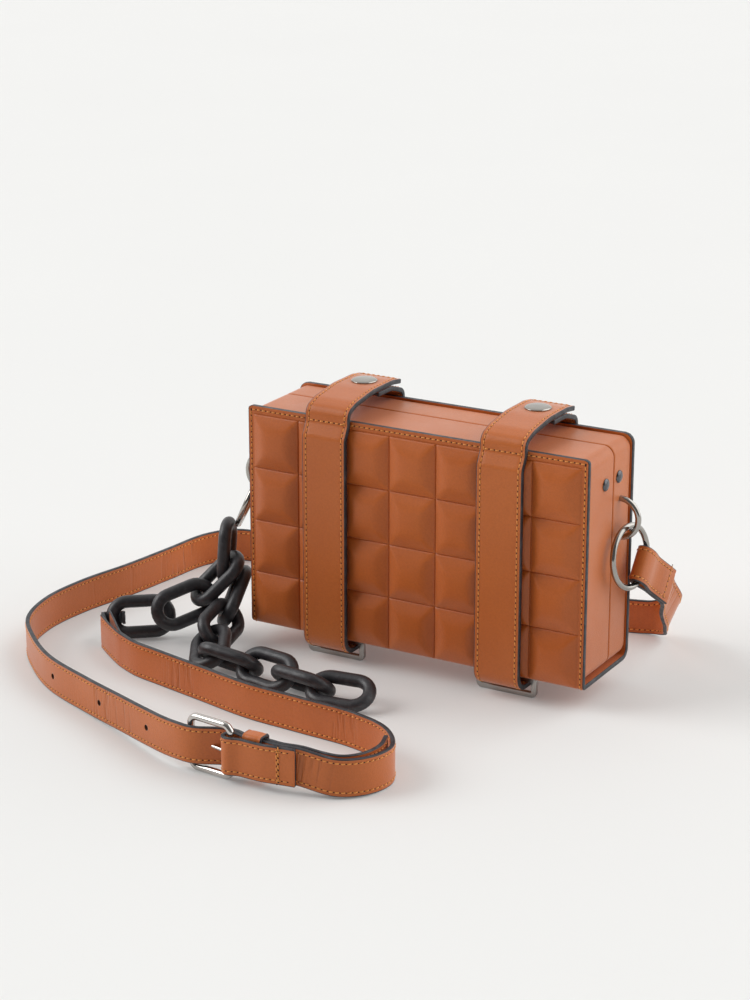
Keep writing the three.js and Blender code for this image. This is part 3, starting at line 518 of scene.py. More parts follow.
def strap_section(width, thickness, stitch_inset=STITCH_INSET, columns=8):
    """Outline of a flat strap, and the material index of each of its sides."""
    half, t = width / 2, thickness / 2
    flat = half - EDGE_ROUND
    sunk = half - stitch_inset
    near = [-flat, -sunk - GROOVE_SIDE, -sunk, -sunk + GROOVE_SIDE]
    between = list(np.linspace(-sunk + GROOVE_CLEAR, sunk - GROOVE_CLEAR, columns))
    us = near + between + [-u for u in reversed(near)]
    dip = [GROOVE * math.exp(-(((abs(u) - sunk) / GROOVE_HALF) ** 2)) for u in us]
    top = [(u, t - d) for u, d in zip(us, dip)]
    centre = t - EDGE_ROUND
    edge = [(flat + EDGE_ROUND * math.cos(a), centre + EDGE_ROUND * math.sin(a)) for a in EDGE_ANGLES]
    right = edge + [(u, -v) for u, v in reversed(edge)]
    bottom = [(u, -v) for u, v in reversed(top)]
    left = [(-u, -v) for u, v in right]
    leather, painted = [0] * (len(top) - 1), [1] * (len(right) + 1)
    return np.array(top + right + bottom + left), leather + painted + leather + painted


def with_end_stations(at, across):
    """The same strap with close stations at both ends, where its ends are rounded."""
    s = lengths(at)
    close = EDGE_ROUND * np.array([0.1, 0.35, 0.65, 1])
    places = np.unique(np.concatenate([close, s, s[-1] - close]))
    return along_line(at, at, places), unit(along_line(at, across, places))


def strap_part(at, across, width, thickness, columns=8, stitch_inset=STITCH_INSET):
    """Flat strap with rounded edges and ends."""
    at, across = with_end_stations(at, across)
    _, level, through = strap_axes(at, across)
    section, kinds = strap_section(width, thickness, stitch_inset, columns)
    along = lengths(at)
    near_end = np.clip(np.minimum(along, along[-1] - along), 0, EDGE_ROUND)
    pull = EDGE_ROUND - np.sqrt(EDGE_ROUND**2 - (EDGE_ROUND - near_end) ** 2)
    narrow = (1 - pull / (width / 2))[:, None, None]
    thin = (1 - END_THINNING * pull / thickness)[:, None, None]
    rings = (
        at[:, None]
        + section[None, :, :1] * level[:, None] * narrow
        + section[None, :, 1:] * through[:, None] * thin
    )
    uv = np.stack(np.broadcast_arrays(along[:, None], section[None, :, 0]), -1)
    return loft(rings, kinds, uv=uv)


# Stitches


def along_line(line, values, places):
    """Values given at a line's points, at other places along it."""
    s = lengths(line)
    return np.stack([np.interp(places, s, values[:, k]) for k in range(3)], 1)


def placed_copies(template, faces, centres, x, y, z):
    """Copies of a small shape at centres, each in its own directions, as one part."""
    points = (
        centres[:, None]
        + template[None, :, :1] * x[:, None]
        + template[None, :, 1:2] * y[:, None]
        + template[None, :, 2:] * z[:, None]
    )
    count = len(template)
    all_faces = [tuple(v + i * count for v in f) for i in range(len(centres)) for f in faces]
    points = points.reshape(-1, 3)
    return points, all_faces, [0] * len(all_faces), np.zeros((len(points), 2))


def stitch_template():
    """One stitch, from stations of (share of its length, height, share of the thread's radius)."""
    rising = [(-0.5, -0.3, 0.45), (-0.36, 0.08, 0.9)]
    stations = rising + [(0, 0.2, 1)] + [(-share, lift, size) for share, lift, size in reversed(rising)]
    angle = np.linspace(0, 2 * np.pi, 6, endpoint=False)
    rings = [
        xyz(
            share * STITCH_LENGTH,
            np.cos(angle) * THREAD * size + share * STITCH_LENGTH * STITCH_SLANT,
            np.sin(angle) * THREAD * size * 0.8 + lift,
        )
        for share, lift, size in stations
    ]
    points, faces, _, _ = loft(rings)
    return points, faces


def hole_template():
    """One needle hole: a small dimple, its dark colour painted shade."""
    angle = np.linspace(0, 2 * np.pi, 8, endpoint=False)
    rim = xyz(np.cos(angle) * NEEDLE_HOLE, np.sin(angle) * NEEDLE_HOLE * 0.85, 0)
    points = np.vstack([rim, [[0, 0, 0.05], [0, 0, -0.3]]])
    faces = [(k, (k + 1) % 8, 8) for k in range(8)] + [((k + 1) % 8, k, 9) for k in range(8)]
    return points, faces


def stitch_row(line, normals):
    """Stitches and needle holes along a line on a surface, as two parts; one normal or one a point."""
    normals = np.broadcast_to(np.array(normals, float), line.shape)
    total = lengths(line)[-1]
    count = max(2, round(total / STITCH_PITCH))
    pitch = total / count
    middles = (np.arange(count) + 0.5) * pitch
    borders = np.arange(count + 1) * pitch
    parts = []
    for places, (template, faces) in ((middles, stitch_template()), (borders, hole_template())):
        centre = along_line(line, line, places)
        reach = 0.4
        x = unit(
            along_line(line, line, np.minimum(places + reach, total))
            - along_line(line, line, np.maximum(places - reach, 0))
        )
        z = along_line(line, normals, places)
        z = unit(z - (z * x).sum(1, keepdims=True) * x)
        parts.append(placed_copies(template, faces, centre, x, np.cross(z, x), z))
    return parts


class Seams:
    """Collects the stitches and needle holes of one piece."""

    def __init__(self):
        self.threads, self.holes = [], []

    def row(self, line, normals):
        thread, hole = stitch_row(line, normals)
        self.threads.append(thread)
        self.holes.append(hole)

    def strap_edges(self, at, across, width, thickness, faces=(1, -1), start=STITCH_INSET):
        """Rows near both edges, on one or both faces of a strap."""
        _, level, through = strap_axes(at, across)
        s = lengths(at)
        keep = (s >= start) & (s <= s[-1] - STITCH_INSET)
        at, level, through = at[keep], level[keep], through[keep]
        for face in faces:
            surface = at + through * face * (thickness / 2 - GROOVE * 0.8)
            for side in (-1, 1):
                self.row(surface + level * side * (width / 2 - STITCH_INSET), through * face)

    def make(self, name):
        make_piece(name + "_stitches", self.threads, [thread_material], 80)
        # The needle holes are small discs coloured in painted shade.
        make_piece(name + "_needle_holes", self.holes, [hole_shade_material], 80)


# Materials


class Finish:
    """A material being built from nodes."""

    def __init__(self, name):
        self.material = bpy.data.materials.new(name)
        self.material.use_nodes = True
        self.tree = self.material.node_tree
        self.shader = next(n for n in self.tree.nodes if n.type == "BSDF_PRINCIPLED")
        self.shape = self.add("TexCoord").outputs["Object"]
        self.uv = self.add("UVMap").outputs[0]

    def add(self, kind, **values):
        node = self.tree.nodes.new("ShaderNode" + kind)
        for key, value in values.items():
            if key in node.inputs:
                self.put(node.inputs[key], value)
            else:
                setattr(node, key, value)
        return node

    def put(self, socket, value):
        if isinstance(value, bpy.types.NodeSocket):
            self.tree.links.new(value, socket)
        else:
            socket.default_value = value

    def set(self, **values):
        for key, value in values.items():
            self.put(self.shader.inputs[key.replace("_", " ")], value)

    def noise(self, scale, detail=3.0, rough=0.5, vector=None, distortion=0.0):
        node = self.add("TexNoise", Scale=scale, Detail=detail, Roughness=rough, Distortion=distortion)
        self.put(node.inputs["Vector"], vector or self.shape)
        return node.outputs["Fac"]

    def cells(self, scale):
        node = self.add("TexVoronoi", Scale=scale)
        self.put(node.inputs["Vector"], self.shape)
        return node.outputs["Distance"]

    def stretched(self, source, scale):
        node = self.add("Mapping")
        self.put(node.inputs["Vector"], source)
        node.inputs["Scale"].default_value = scale
        return node.outputs[0]

    def band(self, value, low, high, to_low=0.0, to_high=1.0):
        node = self.add("MapRange")
        for socket, v in zip(list(node.inputs)[:5], (value, low, high, to_low, to_high)):
            self.put(socket, v)
        return node.outputs[0]

    def mix(self, share, first, second):
        node = self.add("Mix", data_type="RGBA")
        self.put(node.inputs[0], share)
        self.put(node.inputs[6], first)
        self.put(node.inputs[7], second)
        return node.outputs[2]

    def product(self, first, second):
        node = self.add("Math", operation="MULTIPLY")
        self.put(node.inputs[0], first)
        self.put(node.inputs[1], second)
        return node.outputs[0]

    def sum(self, *terms):
        """Sum of (value, weight) pairs."""
        total = None
        for value, weight in terms:
            scaled = self.product(value, weight)
            if total is None:
                total = scaled
                continue
            added = self.add("Math", operation="ADD")
            self.put(added.inputs[0], total)
            self.put(added.inputs[1], scaled)
            total = added.outputs[0]
        return total

    def bump(self, height, distance, strength):
        node = self.add("Bump", Strength=strength, Distance=distance)
        self.put(node.inputs["Height"], height)
        self.put(self.shader.inputs["Normal"], node.outputs[0])


def darker(colour, share):
    return tuple(share * c for c in colour[:3]) + (1,)


def leather_finish(name, colour, dark, creases=0.0):
    """Smooth coated leather: fine grain, slow colour drift, and cross creases on straps, bumped and darkened
    with painted shade.
    """
    f = Finish(name)
    drift = f.band(f.noise(14, 4, 0.55), 0.3, 0.7)
    speck = f.band(f.noise(900, 2, 0.6), 0.35, 0.75, 0, 0.22)
    tone = f.mix(speck, f.mix(drift, colour, dark), darker(dark, 0.6))
    f.set(Roughness=f.band(f.noise(60, 3), 0.3, 0.7, 0.33, 0.43))
    f.set(Specular_IOR_Level=0.42, Sheen_Weight=0.3, Sheen_Roughness=0.4)
    pores = f.cells(1500)
    terms = [(pores, 0.5), (f.noise(2600, 3), 0.35), (f.noise(120, 4), 0.6)]
    if creases:
        folds = f.band(f.noise(1, 2, 0.6, f.stretched(f.uv, (260, 22, 1)), 0.5), 0.5, 0.66)
        mask = f.band(f.noise(1, 1, 0.5, f.stretched(f.uv, (19, 3, 1))), 0.5, 0.62)
        both = f.product(folds, mask)
        terms.append((both, -creases))
        # Painted shade: the creases are coloured darker, up to 0.45 of the way to a deep brown.
        tone = f.mix(f.product(both, 0.45), tone, darker(dark, 0.6))
    f.set(Base_Color=tone)
    f.bump(f.sum(*terms), 0.00022, 0.5)
    return f.material


def paint_finish():
    """Edge paint: dark, waxy, a little uneven and rubbed lighter in patches."""
    f = Finish("edge_paint")
    rub = f.band(f.noise(160, 5, 0.6), 0.45, 0.8)
    f.set(Base_Color=f.mix(rub, (0.022, 0.025, 0.031, 1), (0.075, 0.08, 0.09, 1)))
    f.set(Roughness=f.band(f.noise(300, 3), 0.3, 0.7, 0.42, 0.6), Specular_IOR_Level=0.5)
    f.bump(f.sum((f.noise(700, 3), 1.0), (f.noise(150, 3), 1.5)), 0.0002, 0.6)
    return f.material


def thread_finish():
    """Twisted polyester thread."""
    f = Finish("stitching_thread")
    tone = f.band(f.noise(420, 2), 0.3, 0.7)
    f.set(Base_Color=f.mix(tone, (0.86, 0.36, 0.07, 1), (0.68, 0.24, 0.04, 1)))
    f.set(Roughness=0.55, Sheen_Weight=0.15)
    f.bump(f.noise(3200, 2, 0.6), 0.00015, 0.5)
    return f.material


def metal_finish(name, colour, rough_low, rough_high, brushed=0.0):
    """Plated metal with faint clouds and fine scratches."""
    f = Finish(name)
    cloud = f.band(f.noise(90, 4), 0.3, 0.7)
    f.set(Base_Color=f.mix(cloud, colour, darker(colour, 0.8)), Metallic=1.0)
    f.set(Roughness=f.band(f.noise(200, 5, 0.7), 0.3, 0.75, rough_low, rough_high))
    scratches = f.noise(1, 3, 0.6, f.stretched(f.shape, (900, 5000, 5000)))
    f.bump(f.sum((scratches, 0.4 + brushed), (f.noise(500, 3), 0.4)), 0.00005, 0.35 + brushed)
    return f.material


def resin_finish():
    """Matte moulded resin with faint scuffs and a soft-touch surface."""
    f = Finish("black_resin")
    dust = f.band(f.noise(220, 6, 0.65), 0.5, 0.8)
    f.set(Base_Color=f.mix(dust, (0.027, 0.026, 0.030, 1), (0.065, 0.063, 0.07, 1)))
    f.set(Roughness=f.band(f.noise(300, 5, 0.6), 0.35, 0.7, 0.34, 0.5), Specular_IOR_Level=0.5)
    f.bump(f.sum((f.noise(1400, 4, 0.6), 0.7), (f.noise(250, 3), 0.8)), 0.00025, 0.45)
    return f.material


# Painted shade: near-black brown that stands in for the shade inside needle holes and punched holes.
def hole_shade_finish():
    f = Finish("needle_hole")
    f.set(Base_Color=f.mix(f.noise(500), (0.035, 0.010, 0.004, 1), (0.06, 0.02, 0.008, 1)))
    f.set(Roughness=0.9)
    return f.material


def floor_finish():
    f = Finish("studio_floor")
    f.set(Base_Color=f.mix(f.noise(3), (0.69, 0.69, 0.68, 1), (0.71, 0.71, 0.70, 1)))
    f.set(Roughness=0.85, Specular_IOR_Level=0.2)
    f.set(Emission_Color=(1, 1, 1, 1), Emission_Strength=FLOOR_GLOW)
    return f.material


quilt_material = leather_finish("quilted_leather", (0.57, 0.136, 0.019, 1), (0.48, 0.105, 0.012, 1))
leather_material = leather_finish("smooth_leather", (0.58, 0.150, 0.026, 1), (0.50, 0.120, 0.018, 1))
strap_material = leather_finish("strap_leather", (0.58, 0.152, 0.030, 1), (0.50, 0.122, 0.020, 1), 4.5)
paint_material = paint_finish()
thread_material = thread_finish()
hole_shade_material = hole_shade_finish()
nickel_material = metal_finish("dark_nickel", (0.43, 0.41, 0.38, 1), 0.10, 0.2)
buckle_material = metal_finish("bright_nickel", (0.62, 0.59, 0.56, 1), 0.10, 0.2)
satin_material = metal_finish("satin_steel", (0.44, 0.43, 0.41, 1), 0.28, 0.4, 0.3)
rivet_material = metal_finish("gunmetal", (0.13, 0.13, 0.14, 1), 0.2, 0.34)
resin_material = resin_finish()

# Materials and slot of a piece, and for some the angle over which its edges are sharp
LEATHER = ([leather_material, paint_material], "leather")
STRAP = ([strap_material, paint_material], "leather")
WIRE_NICKEL = ([nickel_material], "dark_nickel", 40)
SNAP_NICKEL = ([nickel_material], "dark_nickel", 35)
BUCKLE_NICKEL = ([buckle_material], "dark_nickel", 40)


# Quilted cover


def bevel_rise(t):
    """Height of a puff from its edge, 0 to 1, for a share t of the way to the opposite edge."""
    near = np.minimum(t, 1 - t) / BEVEL_SHARE + 1e-4
    slope = (near**-BEVEL_POWER + 1) ** (-1 / BEVEL_POWER)
    return (1 - PUFF_CROWN) * slope + PUFF_CROWN * np.sin(np.pi * t)


def puff_rise(across, down):
    """Height of the quilting at shares of the quilted field, softly mitred at the corners."""
    inside = (across > 0) & (across < 1) & (down > 0) & (down < 1)
    a = bevel_rise(np.mod(across * PUFF_COLUMNS, 1))
    b = bevel_rise(np.mod(down * PUFF_ROWS, 1))
    overlap = np.maximum(MITRE_SOFTNESS - np.abs(a - b), 0)
    both = np.minimum(a, b) - overlap**2 / (4 * MITRE_SOFTNESS)
    return np.where(inside, np.clip(both, 0, 1), 0)


def border_groove(distance):
    """Depth of the groove under a border's stitches, by distance from the row."""
    return BORDER_GROOVE * np.exp(-((distance / BORDER_GROOVE_HALF) ** 2))


def quilt_shares(count):
    """Shares of the quilted field at which its skin has points, close together at the valleys."""
    puff = HALF_PUFF + [1 - h for h in reversed(HALF_PUFF[1:-1])]
    return [(k + h) / count for k in range(count) for h in puff] + [1]


def cover_path():
    """Outer side of the cover seen from the right, from the front's top over the bottom to the back's top."""
    half = BOX_DEPTH / 2
    corners = [(-half, BOX_HEIGHT), (-half, 0, FRONT_FOLD), (half, 0, BACK_FOLD), (half, BOX_HEIGHT)]
    return rounded_line(corners, 10)


def cover_stations():
    """Places along the cover's outer side, its points there, and the way outwards."""
    outer = spaced(cover_path(), 0.5)
    lines = TOP_BORDER + (QUILT_END - TOP_BORDER) * np.array(quilt_shares(PUFF_ROWS))
    total = lengths(outer)[-1]
    plain = np.arange(lines[-1] + PLAIN_START, total, PLAIN_STEP)
    places = np.unique(np.concatenate([BORDER_PLACES, lines, plain, [total]]))
    outer = along_line(outer, np.column_stack([outer, np.zeros(len(outer))]), places)[:, :2]
    forward = unit(np.gradient(outer, axis=0))
    return lengths(outer), outer, np.stack([forward[:, 1], -forward[:, 0]], 1)


def cover_columns():
    """Widths at which the cover's skin has points, from the left edge to the right."""
    flat = BOX_WIDTH / 2 - EDGE_ROUND
    seam = SIDE_STITCH + np.array([0.6, 0, -0.8])
    field = (BOX_WIDTH - 2 * SIDE_BORDER) * (np.array(quilt_shares(PUFF_COLUMNS)) - 0.5)
    return np.concatenate([[-flat], -seam, field, seam[::-1], [flat]])


def cover_height(s, us):
    """Height of the skin over the cover's outer side, for places s along it and widths us."""
    down = (s - TOP_BORDER) / (QUILT_END - TOP_BORDER)
    across = us / (BOX_WIDTH - 2 * SIDE_BORDER) + 0.5
    rise = puff_rise(across[None, :], down[:, None])
    quilted = ((down > 0) & (down < 1))[:, None] & ((across > 0) & (across < 1))[None, :]
    height = np.where(quilted, VALLEY_HEIGHT + (PUFF_HEIGHT - VALLEY_HEIGHT) * rise, 0)
    height = height - CREASE_DEPTH * (quilted & (rise < VALLEY_LIMIT))
    side_groove = border_groove(np.abs(us) - SIDE_STITCH)
    return height - side_groove[None, :] - border_groove(s - BORDER_STITCH)[:, None]


def corner_squeeze(s):
    """How much the cover narrows at its rounded corners, as a share of its width."""
    corner = np.where(s < s[-1] / 2, FRONT_CORNER, BACK_CORNER)
    from_end = np.minimum(s, s[-1] - s)
    short = corner - np.sqrt(np.maximum(corner**2 - np.maximum(corner - from_end, 0) ** 2, 0))
    return (1 - short / (BOX_WIDTH / 2))[:, None]


def quilted_cover():
    s, outer, normal = cover_stations()
    us = cover_columns()
    squeeze = corner_squeeze(s)

    def row(widths, out):
        """Points at widths and at heights over the outer side, for every station."""
        yz = outer[:, None] + normal[:, None] * out[..., None]
        return xyz(widths[None] * squeeze, yz[..., 0], yz[..., 1])

    level = np.ones((len(s), 1))
    edge_u = us[-1] + EDGE_ROUND * np.cos(EDGE_ANGLES)
    edge_out = EDGE_ROUND * np.sin(EDGE_ANGLES) - EDGE_ROUND
    rings = [
        row(us, cover_height(s, us)),
        row(edge_u, level * edge_out),
        row(edge_u[::-1], level * (-COVER_THICKNESS - edge_out[::-1])),
        row(np.linspace(us[-1], us[0], INNER_COLUMNS), level * np.full(INNER_COLUMNS, -COVER_THICKNESS)),
        row(-edge_u, level * (-COVER_THICKNESS - edge_out)),
        row(-edge_u[::-1], level * edge_out[::-1]),
    ]
    painted = [1] * (2 * len(EDGE_ANGLES) + 1)
    kinds = [0] * (len(us) - 1) + painted + [0] * (INNER_COLUMNS - 1) + painted
    body = loft(np.concatenate(rings, 1), kinds)
    piece = dress("quilted_cover", [body], [quilt_material, paint_material], "quilted_leather", 60)
    cover_seams(s, outer, normal)


def cover_seams(s, outer, normal):
    """Rows of stitches near the cover's four edges."""
    seams = Seams()
    widths = np.linspace(-SIDE_STITCH, SIDE_STITCH, 60)
    for face in (-1, 1):
        line = xyz(widths, face * (BOX_DEPTH / 2 - 0.1), BOX_HEIGHT - BORDER_STITCH)
        seams.row(line, [0, face, 0])
    keep = (s > BORDER_STITCH) & (s < s[-1] - BORDER_STITCH)
    yz = (outer - normal * 0.1)[keep]
    for x in (-SIDE_STITCH, SIDE_STITCH):
        seams.row(xyz(x, yz[:, 0], yz[:, 1]), xyz(0, normal[keep, 0], normal[keep, 1]))
    seams.make("cover")


# Shells


def shell(node, mouth, face, bottom_round):
    """Tray from its mouth at the seam to its closed face, along Y."""
    towards = math.copysign(1, face - mouth)
    top, low = BOX_HEIGHT - SHELL_INSET, COVER_THICKNESS + FIT_GAP
    depth = abs(face - mouth)

    def ring(d, inset):
        """Outline at a distance d from the mouth."""
        lift = 0.0
        if bottom_round and d > depth - bottom_round:
            into = d - (depth - bottom_round)
            lift = bottom_round - math.sqrt(max(bottom_round**2 - into**2, 0))
        bottom = low + max(inset, lift)
        radius = max(SHELL_CORNER - inset, 1.0)
        side = SIDE_WALL - inset
        outline = rounded_rectangle(-side, bottom, side, top - inset, (radius, radius), 7)
        return xyz(outline[:, 0], mouth + towards * d, outline[:, 1])

    inside = [(depth - SHELL_WALL, SHELL_WALL), (1.0, SHELL_WALL), (0.2, SHELL_WALL - 0.5)]
    angles = np.radians([90, 68, 45, 22, 0])
    lip = [(LIP_ROUND * (1 - math.sin(a)), LIP_ROUND * (1 - math.cos(a))) for a in angles]
    walls = [(d, 0) for d in np.linspace(1.5, depth - 3.2, 6)]
    far_edge = [(depth - d, inset) for d, inset in ((2.2, 0), (1.2, 0.05), (0.5, 0.3), (0, 0.8))]
    rows = [ring(d, inset) for d, inset in inside + lip + walls + far_edge]
    dress(node, [loft(rows, cap=0)], [leather_material], "leather", 50)


def shells():
    face = BOX_DEPTH / 2 - COVER_THICKNESS - FIT_GAP
    shell("front_shell", SEAM - SEAM_GAP / 2, -face, 0)
    shell("back_shell", SEAM + SEAM_GAP / 2, face, BACK_FOLD - COVER_THICKNESS - FIT_GAP)


# Closing straps and their fittings


def closing_path():
    """Middle of a closing strap seen from the right, from the flap's tip to the tab's end."""
    half, top = CLOSING_THICKNESS / 2, BOX_HEIGHT
    border = -BOX_DEPTH / 2 - FIT_GAP - half
    front = -BOX_DEPTH / 2 - OVER_QUILT - half
    back = BOX_DEPTH / 2 + FIT_GAP + half
    under = -UNDER_BOX - half
    tab_level = top + FLAP_RISE - FIT_GAP - half
    corners = [
        (SNAP_OFFSET + FLAP_TIP, FLAP_LEVEL - FLAP_DROP),
        (SNAP_OFFSET + FLAP_FLAT_BACK, FLAP_LEVEL, FLAP_SAG),
        (SNAP_OFFSET - FLAP_FLAT_FRONT, FLAP_LEVEL, FLAP_CREST),
        (SNAP_OFFSET - FLAP_SHOULDER, FLAP_LEVEL - FLAP_SHOULDER_DROP, FLAP_SHOULDER_BEND),
        (border, top + FLAP_CORNER, FLAP_TURN),
        (border, top - OVER_BORDER, FLAP_TURN),
        (front, top - ONTO_QUILT, FLAP_TURN),
        (front, under, STRAP_FRONT_BEND),
        (back, under, STRAP_BACK_BEND),
        (back, top + TAB_CORNER, TAB_TURN),
        (SNAP_OFFSET + TAB_FLAT, tab_level, TAB_CREST),
        (SNAP_OFFSET - TAB_FLAT, tab_level),
    ]
    return spaced(rounded_line(corners, 8), 3.0)


def closing_straps():
    path = closing_path()
    for name, x in CLOSING_PLACES.items():
        at = xyz(x, path[:, 0], path[:, 1])
        across = np.tile([1.0, 0, 0], (len(path), 1))
        body = strap_part(at, across, CLOSING_WIDTH, CLOSING_THICKNESS, 12)
        dress(f"closing_strap_{name}", [body], *LEATHER)
        seams = Seams()
        seams.strap_edges(at, across, CLOSING_WIDTH, CLOSING_THICKNESS)
        cross_seams(seams, at, across)
        seams.make(f"closing_strap_{name}")
        snap(name, x)
        strap_loop("front", name, x, -LOOP_OFFSET)
        strap_loop("back", name, x, LOOP_OFFSET)


def cross_seams(seams, at, across):
    """Rows across a closing strap, below the box's top in front and at the flap's tip."""
    _, level, through = strap_axes(at, across)
    below_top = np.abs(at[:, 2] - (BOX_HEIGHT - CROSS_SEAM_DROP))
    in_front = int(np.argmin(below_top + 50 * (at[:, 1] > 0)))
    at_tip = int(np.argmin(np.abs(lengths(at) - STITCH_INSET)))
    reach = CLOSING_WIDTH / 2 - STITCH_INSET
    widths = np.linspace(-reach, reach, ROW_POINTS)
    for i in (in_front, at_tip):
        out = through[i] * outward_face(at[i], through[i])
        line = at[i] + out * (CLOSING_THICKNESS / 2) + widths[:, None] * level[i]
        seams.row(line, out)


def outward_face(at, through):
    """The side of a strap, 1 or -1, that looks away from the middle of the box."""
    middle = np.array([at[0], 0, BOX_HEIGHT / 2])
    return 1 if (at - middle) @ through > 0 else -1


def snap(name, x):
    """Domed cap on the flap and stud on the tab, as (radius, height) from their leather."""
    top = FLAP_LEVEL + CLOSING_THICKNESS / 2
    cap = [(2.5, -CLOSING_THICKNESS), (2.5, 0.05), (6.7, 0.05), (7.0, 0.25), (7.0, 0.5), (6.8, 0.72)]
    cap += [(6.5 * math.cos(a), 0.78 + 0.85 * math.sin(a)) for a in np.radians(range(8, 90, 9))]
    cap_part = turned_part(cap, (x, SNAP_OFFSET, top), UP, 48)
    dress(f"snap_cap_{name}", [cap_part], *SNAP_NICKEL)
    tab = top - 2 * CLOSING_THICKNESS - FIT_GAP
    stud = [(4.2, -0.95), (4.5, -0.75), (4.5, -0.05), (2.5, 0)]
    stud += [(2.5, CLOSING_THICKNESS - 0.1), (0.02, 2.5)]
    stud_part = turned_part(stud, (x, SNAP_OFFSET, tab), UP, 32)
    dress(f"snap_stud_{name}", [stud_part], *SNAP_NICKEL)


def strap_loop(end, name, x, y):
    """Flat metal loop under the box."""
    half, depth = LOOP_WIRE / 2, LOOP_DEPTH / 2
    reach = LOOP_LENGTH / 2 - half
    line = rounded_rectangle(-reach, FLOOR + half, reach, -FIT_GAP - half, (1.6, 0.8), 6)
    section = rounded_rectangle(-half, -depth, half, depth, (0.5, 0.5), 4)[:, ::-1]
    part = closed_band(xyz(line[:, 0] + x, y, line[:, 1]), section, np.array([0, 1, 0]))
    dress(f"strap_loop_{end}_{name}", [part], [satin_material], "satin_steel", 40)


# Rivets, bails and rings


def rivets(name, side):
    dome = [(2.3, -0.05), (3.1, 0.05), (3.35, 0.25), (3.3, 0.45)]
    dome += [(3.1 * math.cos(a), 0.5 + 0.95 * math.sin(a)) for a in np.radians(range(10, 90, 10))]
    shank = [(2.5, -SHELL_WALL - 1.0), (2.5, -SHELL_WALL - 0.35)]
    shank += [(1.2, -SHELL_WALL - 0.3), (1.2, -0.05)]
    for end, y in (("front", SEAM - RIVET_FRONT_REACH), ("back", SEAM + RIVET_BACK_REACH)):
        centre = (side * SIDE_WALL, y, BOX_HEIGHT - RIVET_DROP)
        part = turned_part(shank + dome, centre, (side, 0, 0), 32)
        dress(f"rivet_{name}_{end}", [part], [rivet_material], "dark_nickel", 35)


def bail(name, side):
    y, z = side * BAIL_OFFSET, BOX_HEIGHT - BAIL_DROP
    leg = SHELL_WALL + 1
    angles = np.linspace(-math.pi / 2, math.pi / 2, 33)
    flat = [(-leg, -BAIL_RADIUS), (-leg / 2, -BAIL_RADIUS)]
    flat += [(BAIL_RADIUS * math.cos(a), BAIL_RADIUS * math.sin(a)) for a in angles]
    flat += [(-leg / 2, BAIL_RADIUS), (-leg, BAIL_RADIUS)]
    line = [(side * (SIDE_WALL + out), y, z + up) for out, up in flat]
    dress(f"bail_{name}", [tube(line, WIRE / 2)], *WIRE_NICKEL)


def round_ring(name):
    middle, facing = (np.array(v, float) for v in RINGS[name])
    facing = unit(facing)
    first = unit(np.cross(facing, UP))
    second = np.cross(facing, first)
    turn = np.linspace(0, 2 * math.pi, 72, endpoint=False)[:, None]
    line = middle + RING_RADIUS * (np.cos(turn) * first + np.sin(turn) * second)
    part = tube(line, WIRE / 2, closed=True)
    dress(f"round_ring_{name}", [part], *WIRE_NICKEL)


def side_fittings():
    for name, side in (("left", -1), ("right", 1)):
        rivets(name, side)
        bail(name, side)
        round_ring(name)


# Shoulder strap


def floor_knot(x, y, lift=0.0, lean_x=0.0, lean_y=0.0):
    across = np.array([lean_x, lean_y, math.sqrt(1 - lean_x**2 - lean_y**2)])
    return np.array([x, y, STRAP_MIDDLE + lift]), across


def buckle_knot(x, y):
    return np.array([x, y, BUCKLE_LEVEL]), UP


def ring_fold():
    """Knots of the long strap's end round the right ring, from the raw end."""
    middle, facing = (np.array(v, float) for v in RINGS["right"])
    facing = unit(facing)
    out = floor_knot(*LONG_ROUTE[0])[0] - middle
    out = unit(out - (out @ facing) * facing)
    across = np.cross(facing, out)
    wire = middle + out * RING_RADIUS
    apart = WIRE / 2 + FIT_GAP + STRAP_THICKNESS / 2
    together = PLY / 2
    reaches = (RING_FOLD_LENGTH, RING_FOLD_SEAM, RING_PLY_MEET)
    stations = [(reach, together) for reach in reaches] + [(0, apart)]
    for a in np.linspace(0, math.pi, 9):
        stations.append((-RING_FOLD_SINK - apart * math.sin(a), apart * math.cos(a)))
    stations += [(0, -apart)] + [(reach, -together) for reach in reversed(reaches)]
    return [(wire + out * r + facing * side, across) for r, side in stations]


def short_strap():
    front = [buckle_knot(x, y - half) for x, y, half in DOUBLED_END]
    angles = [-math.pi / 2 - math.pi * k / 8 for k in range(9)]
    ways = [(FOLD_RADIUS * math.cos(a), FOLD_RADIUS * math.sin(a)) for a in angles]
    fold = [buckle_knot(HEEL[0] + dx, HEEL[1] + dy) for dx, dy in ways]
    back = [buckle_knot(x, y + half) for x, y, half in reversed(DOUBLED_END)]
    knots = front + fold + back + [floor_knot(*row) for row in SHORT_ROUTE]
    at, across = smooth_strap(knots, STRAP_WIDTH)
    parts = [strap_part(at, across, STRAP_WIDTH, STRAP_THICKNESS)]
    seams = Seams()
    seams.strap_edges(at, across, STRAP_WIDTH, STRAP_THICKNESS)
    layer = STRAP_THICKNESS / 2
    for rows, outwards in ((OUTER_LAYER, 1), (INNER_LAYER, -1)):
        at, across = smooth_strap([floor_knot(*row) for row in rows], STRAP_WIDTH)
        parts.append(strap_part(at, across, STRAP_WIDTH, layer))
        faces = (layer_face(at, across, outwards),)
        seams.strap_edges(at, across, STRAP_WIDTH, layer, faces=faces, start=6)
    doubled_seams(seams)
    dress("shoulder_strap_short", parts, *STRAP)
    seams.make("shoulder_strap_short")


def layer_face(at, across, outwards):
    """The face of a layer, 1 or -1, that looks to the front, or the other one where outwards is -1."""
    through = strap_axes(at, across)[2]
    return outwards if through[0][1] < 0 else -outwards


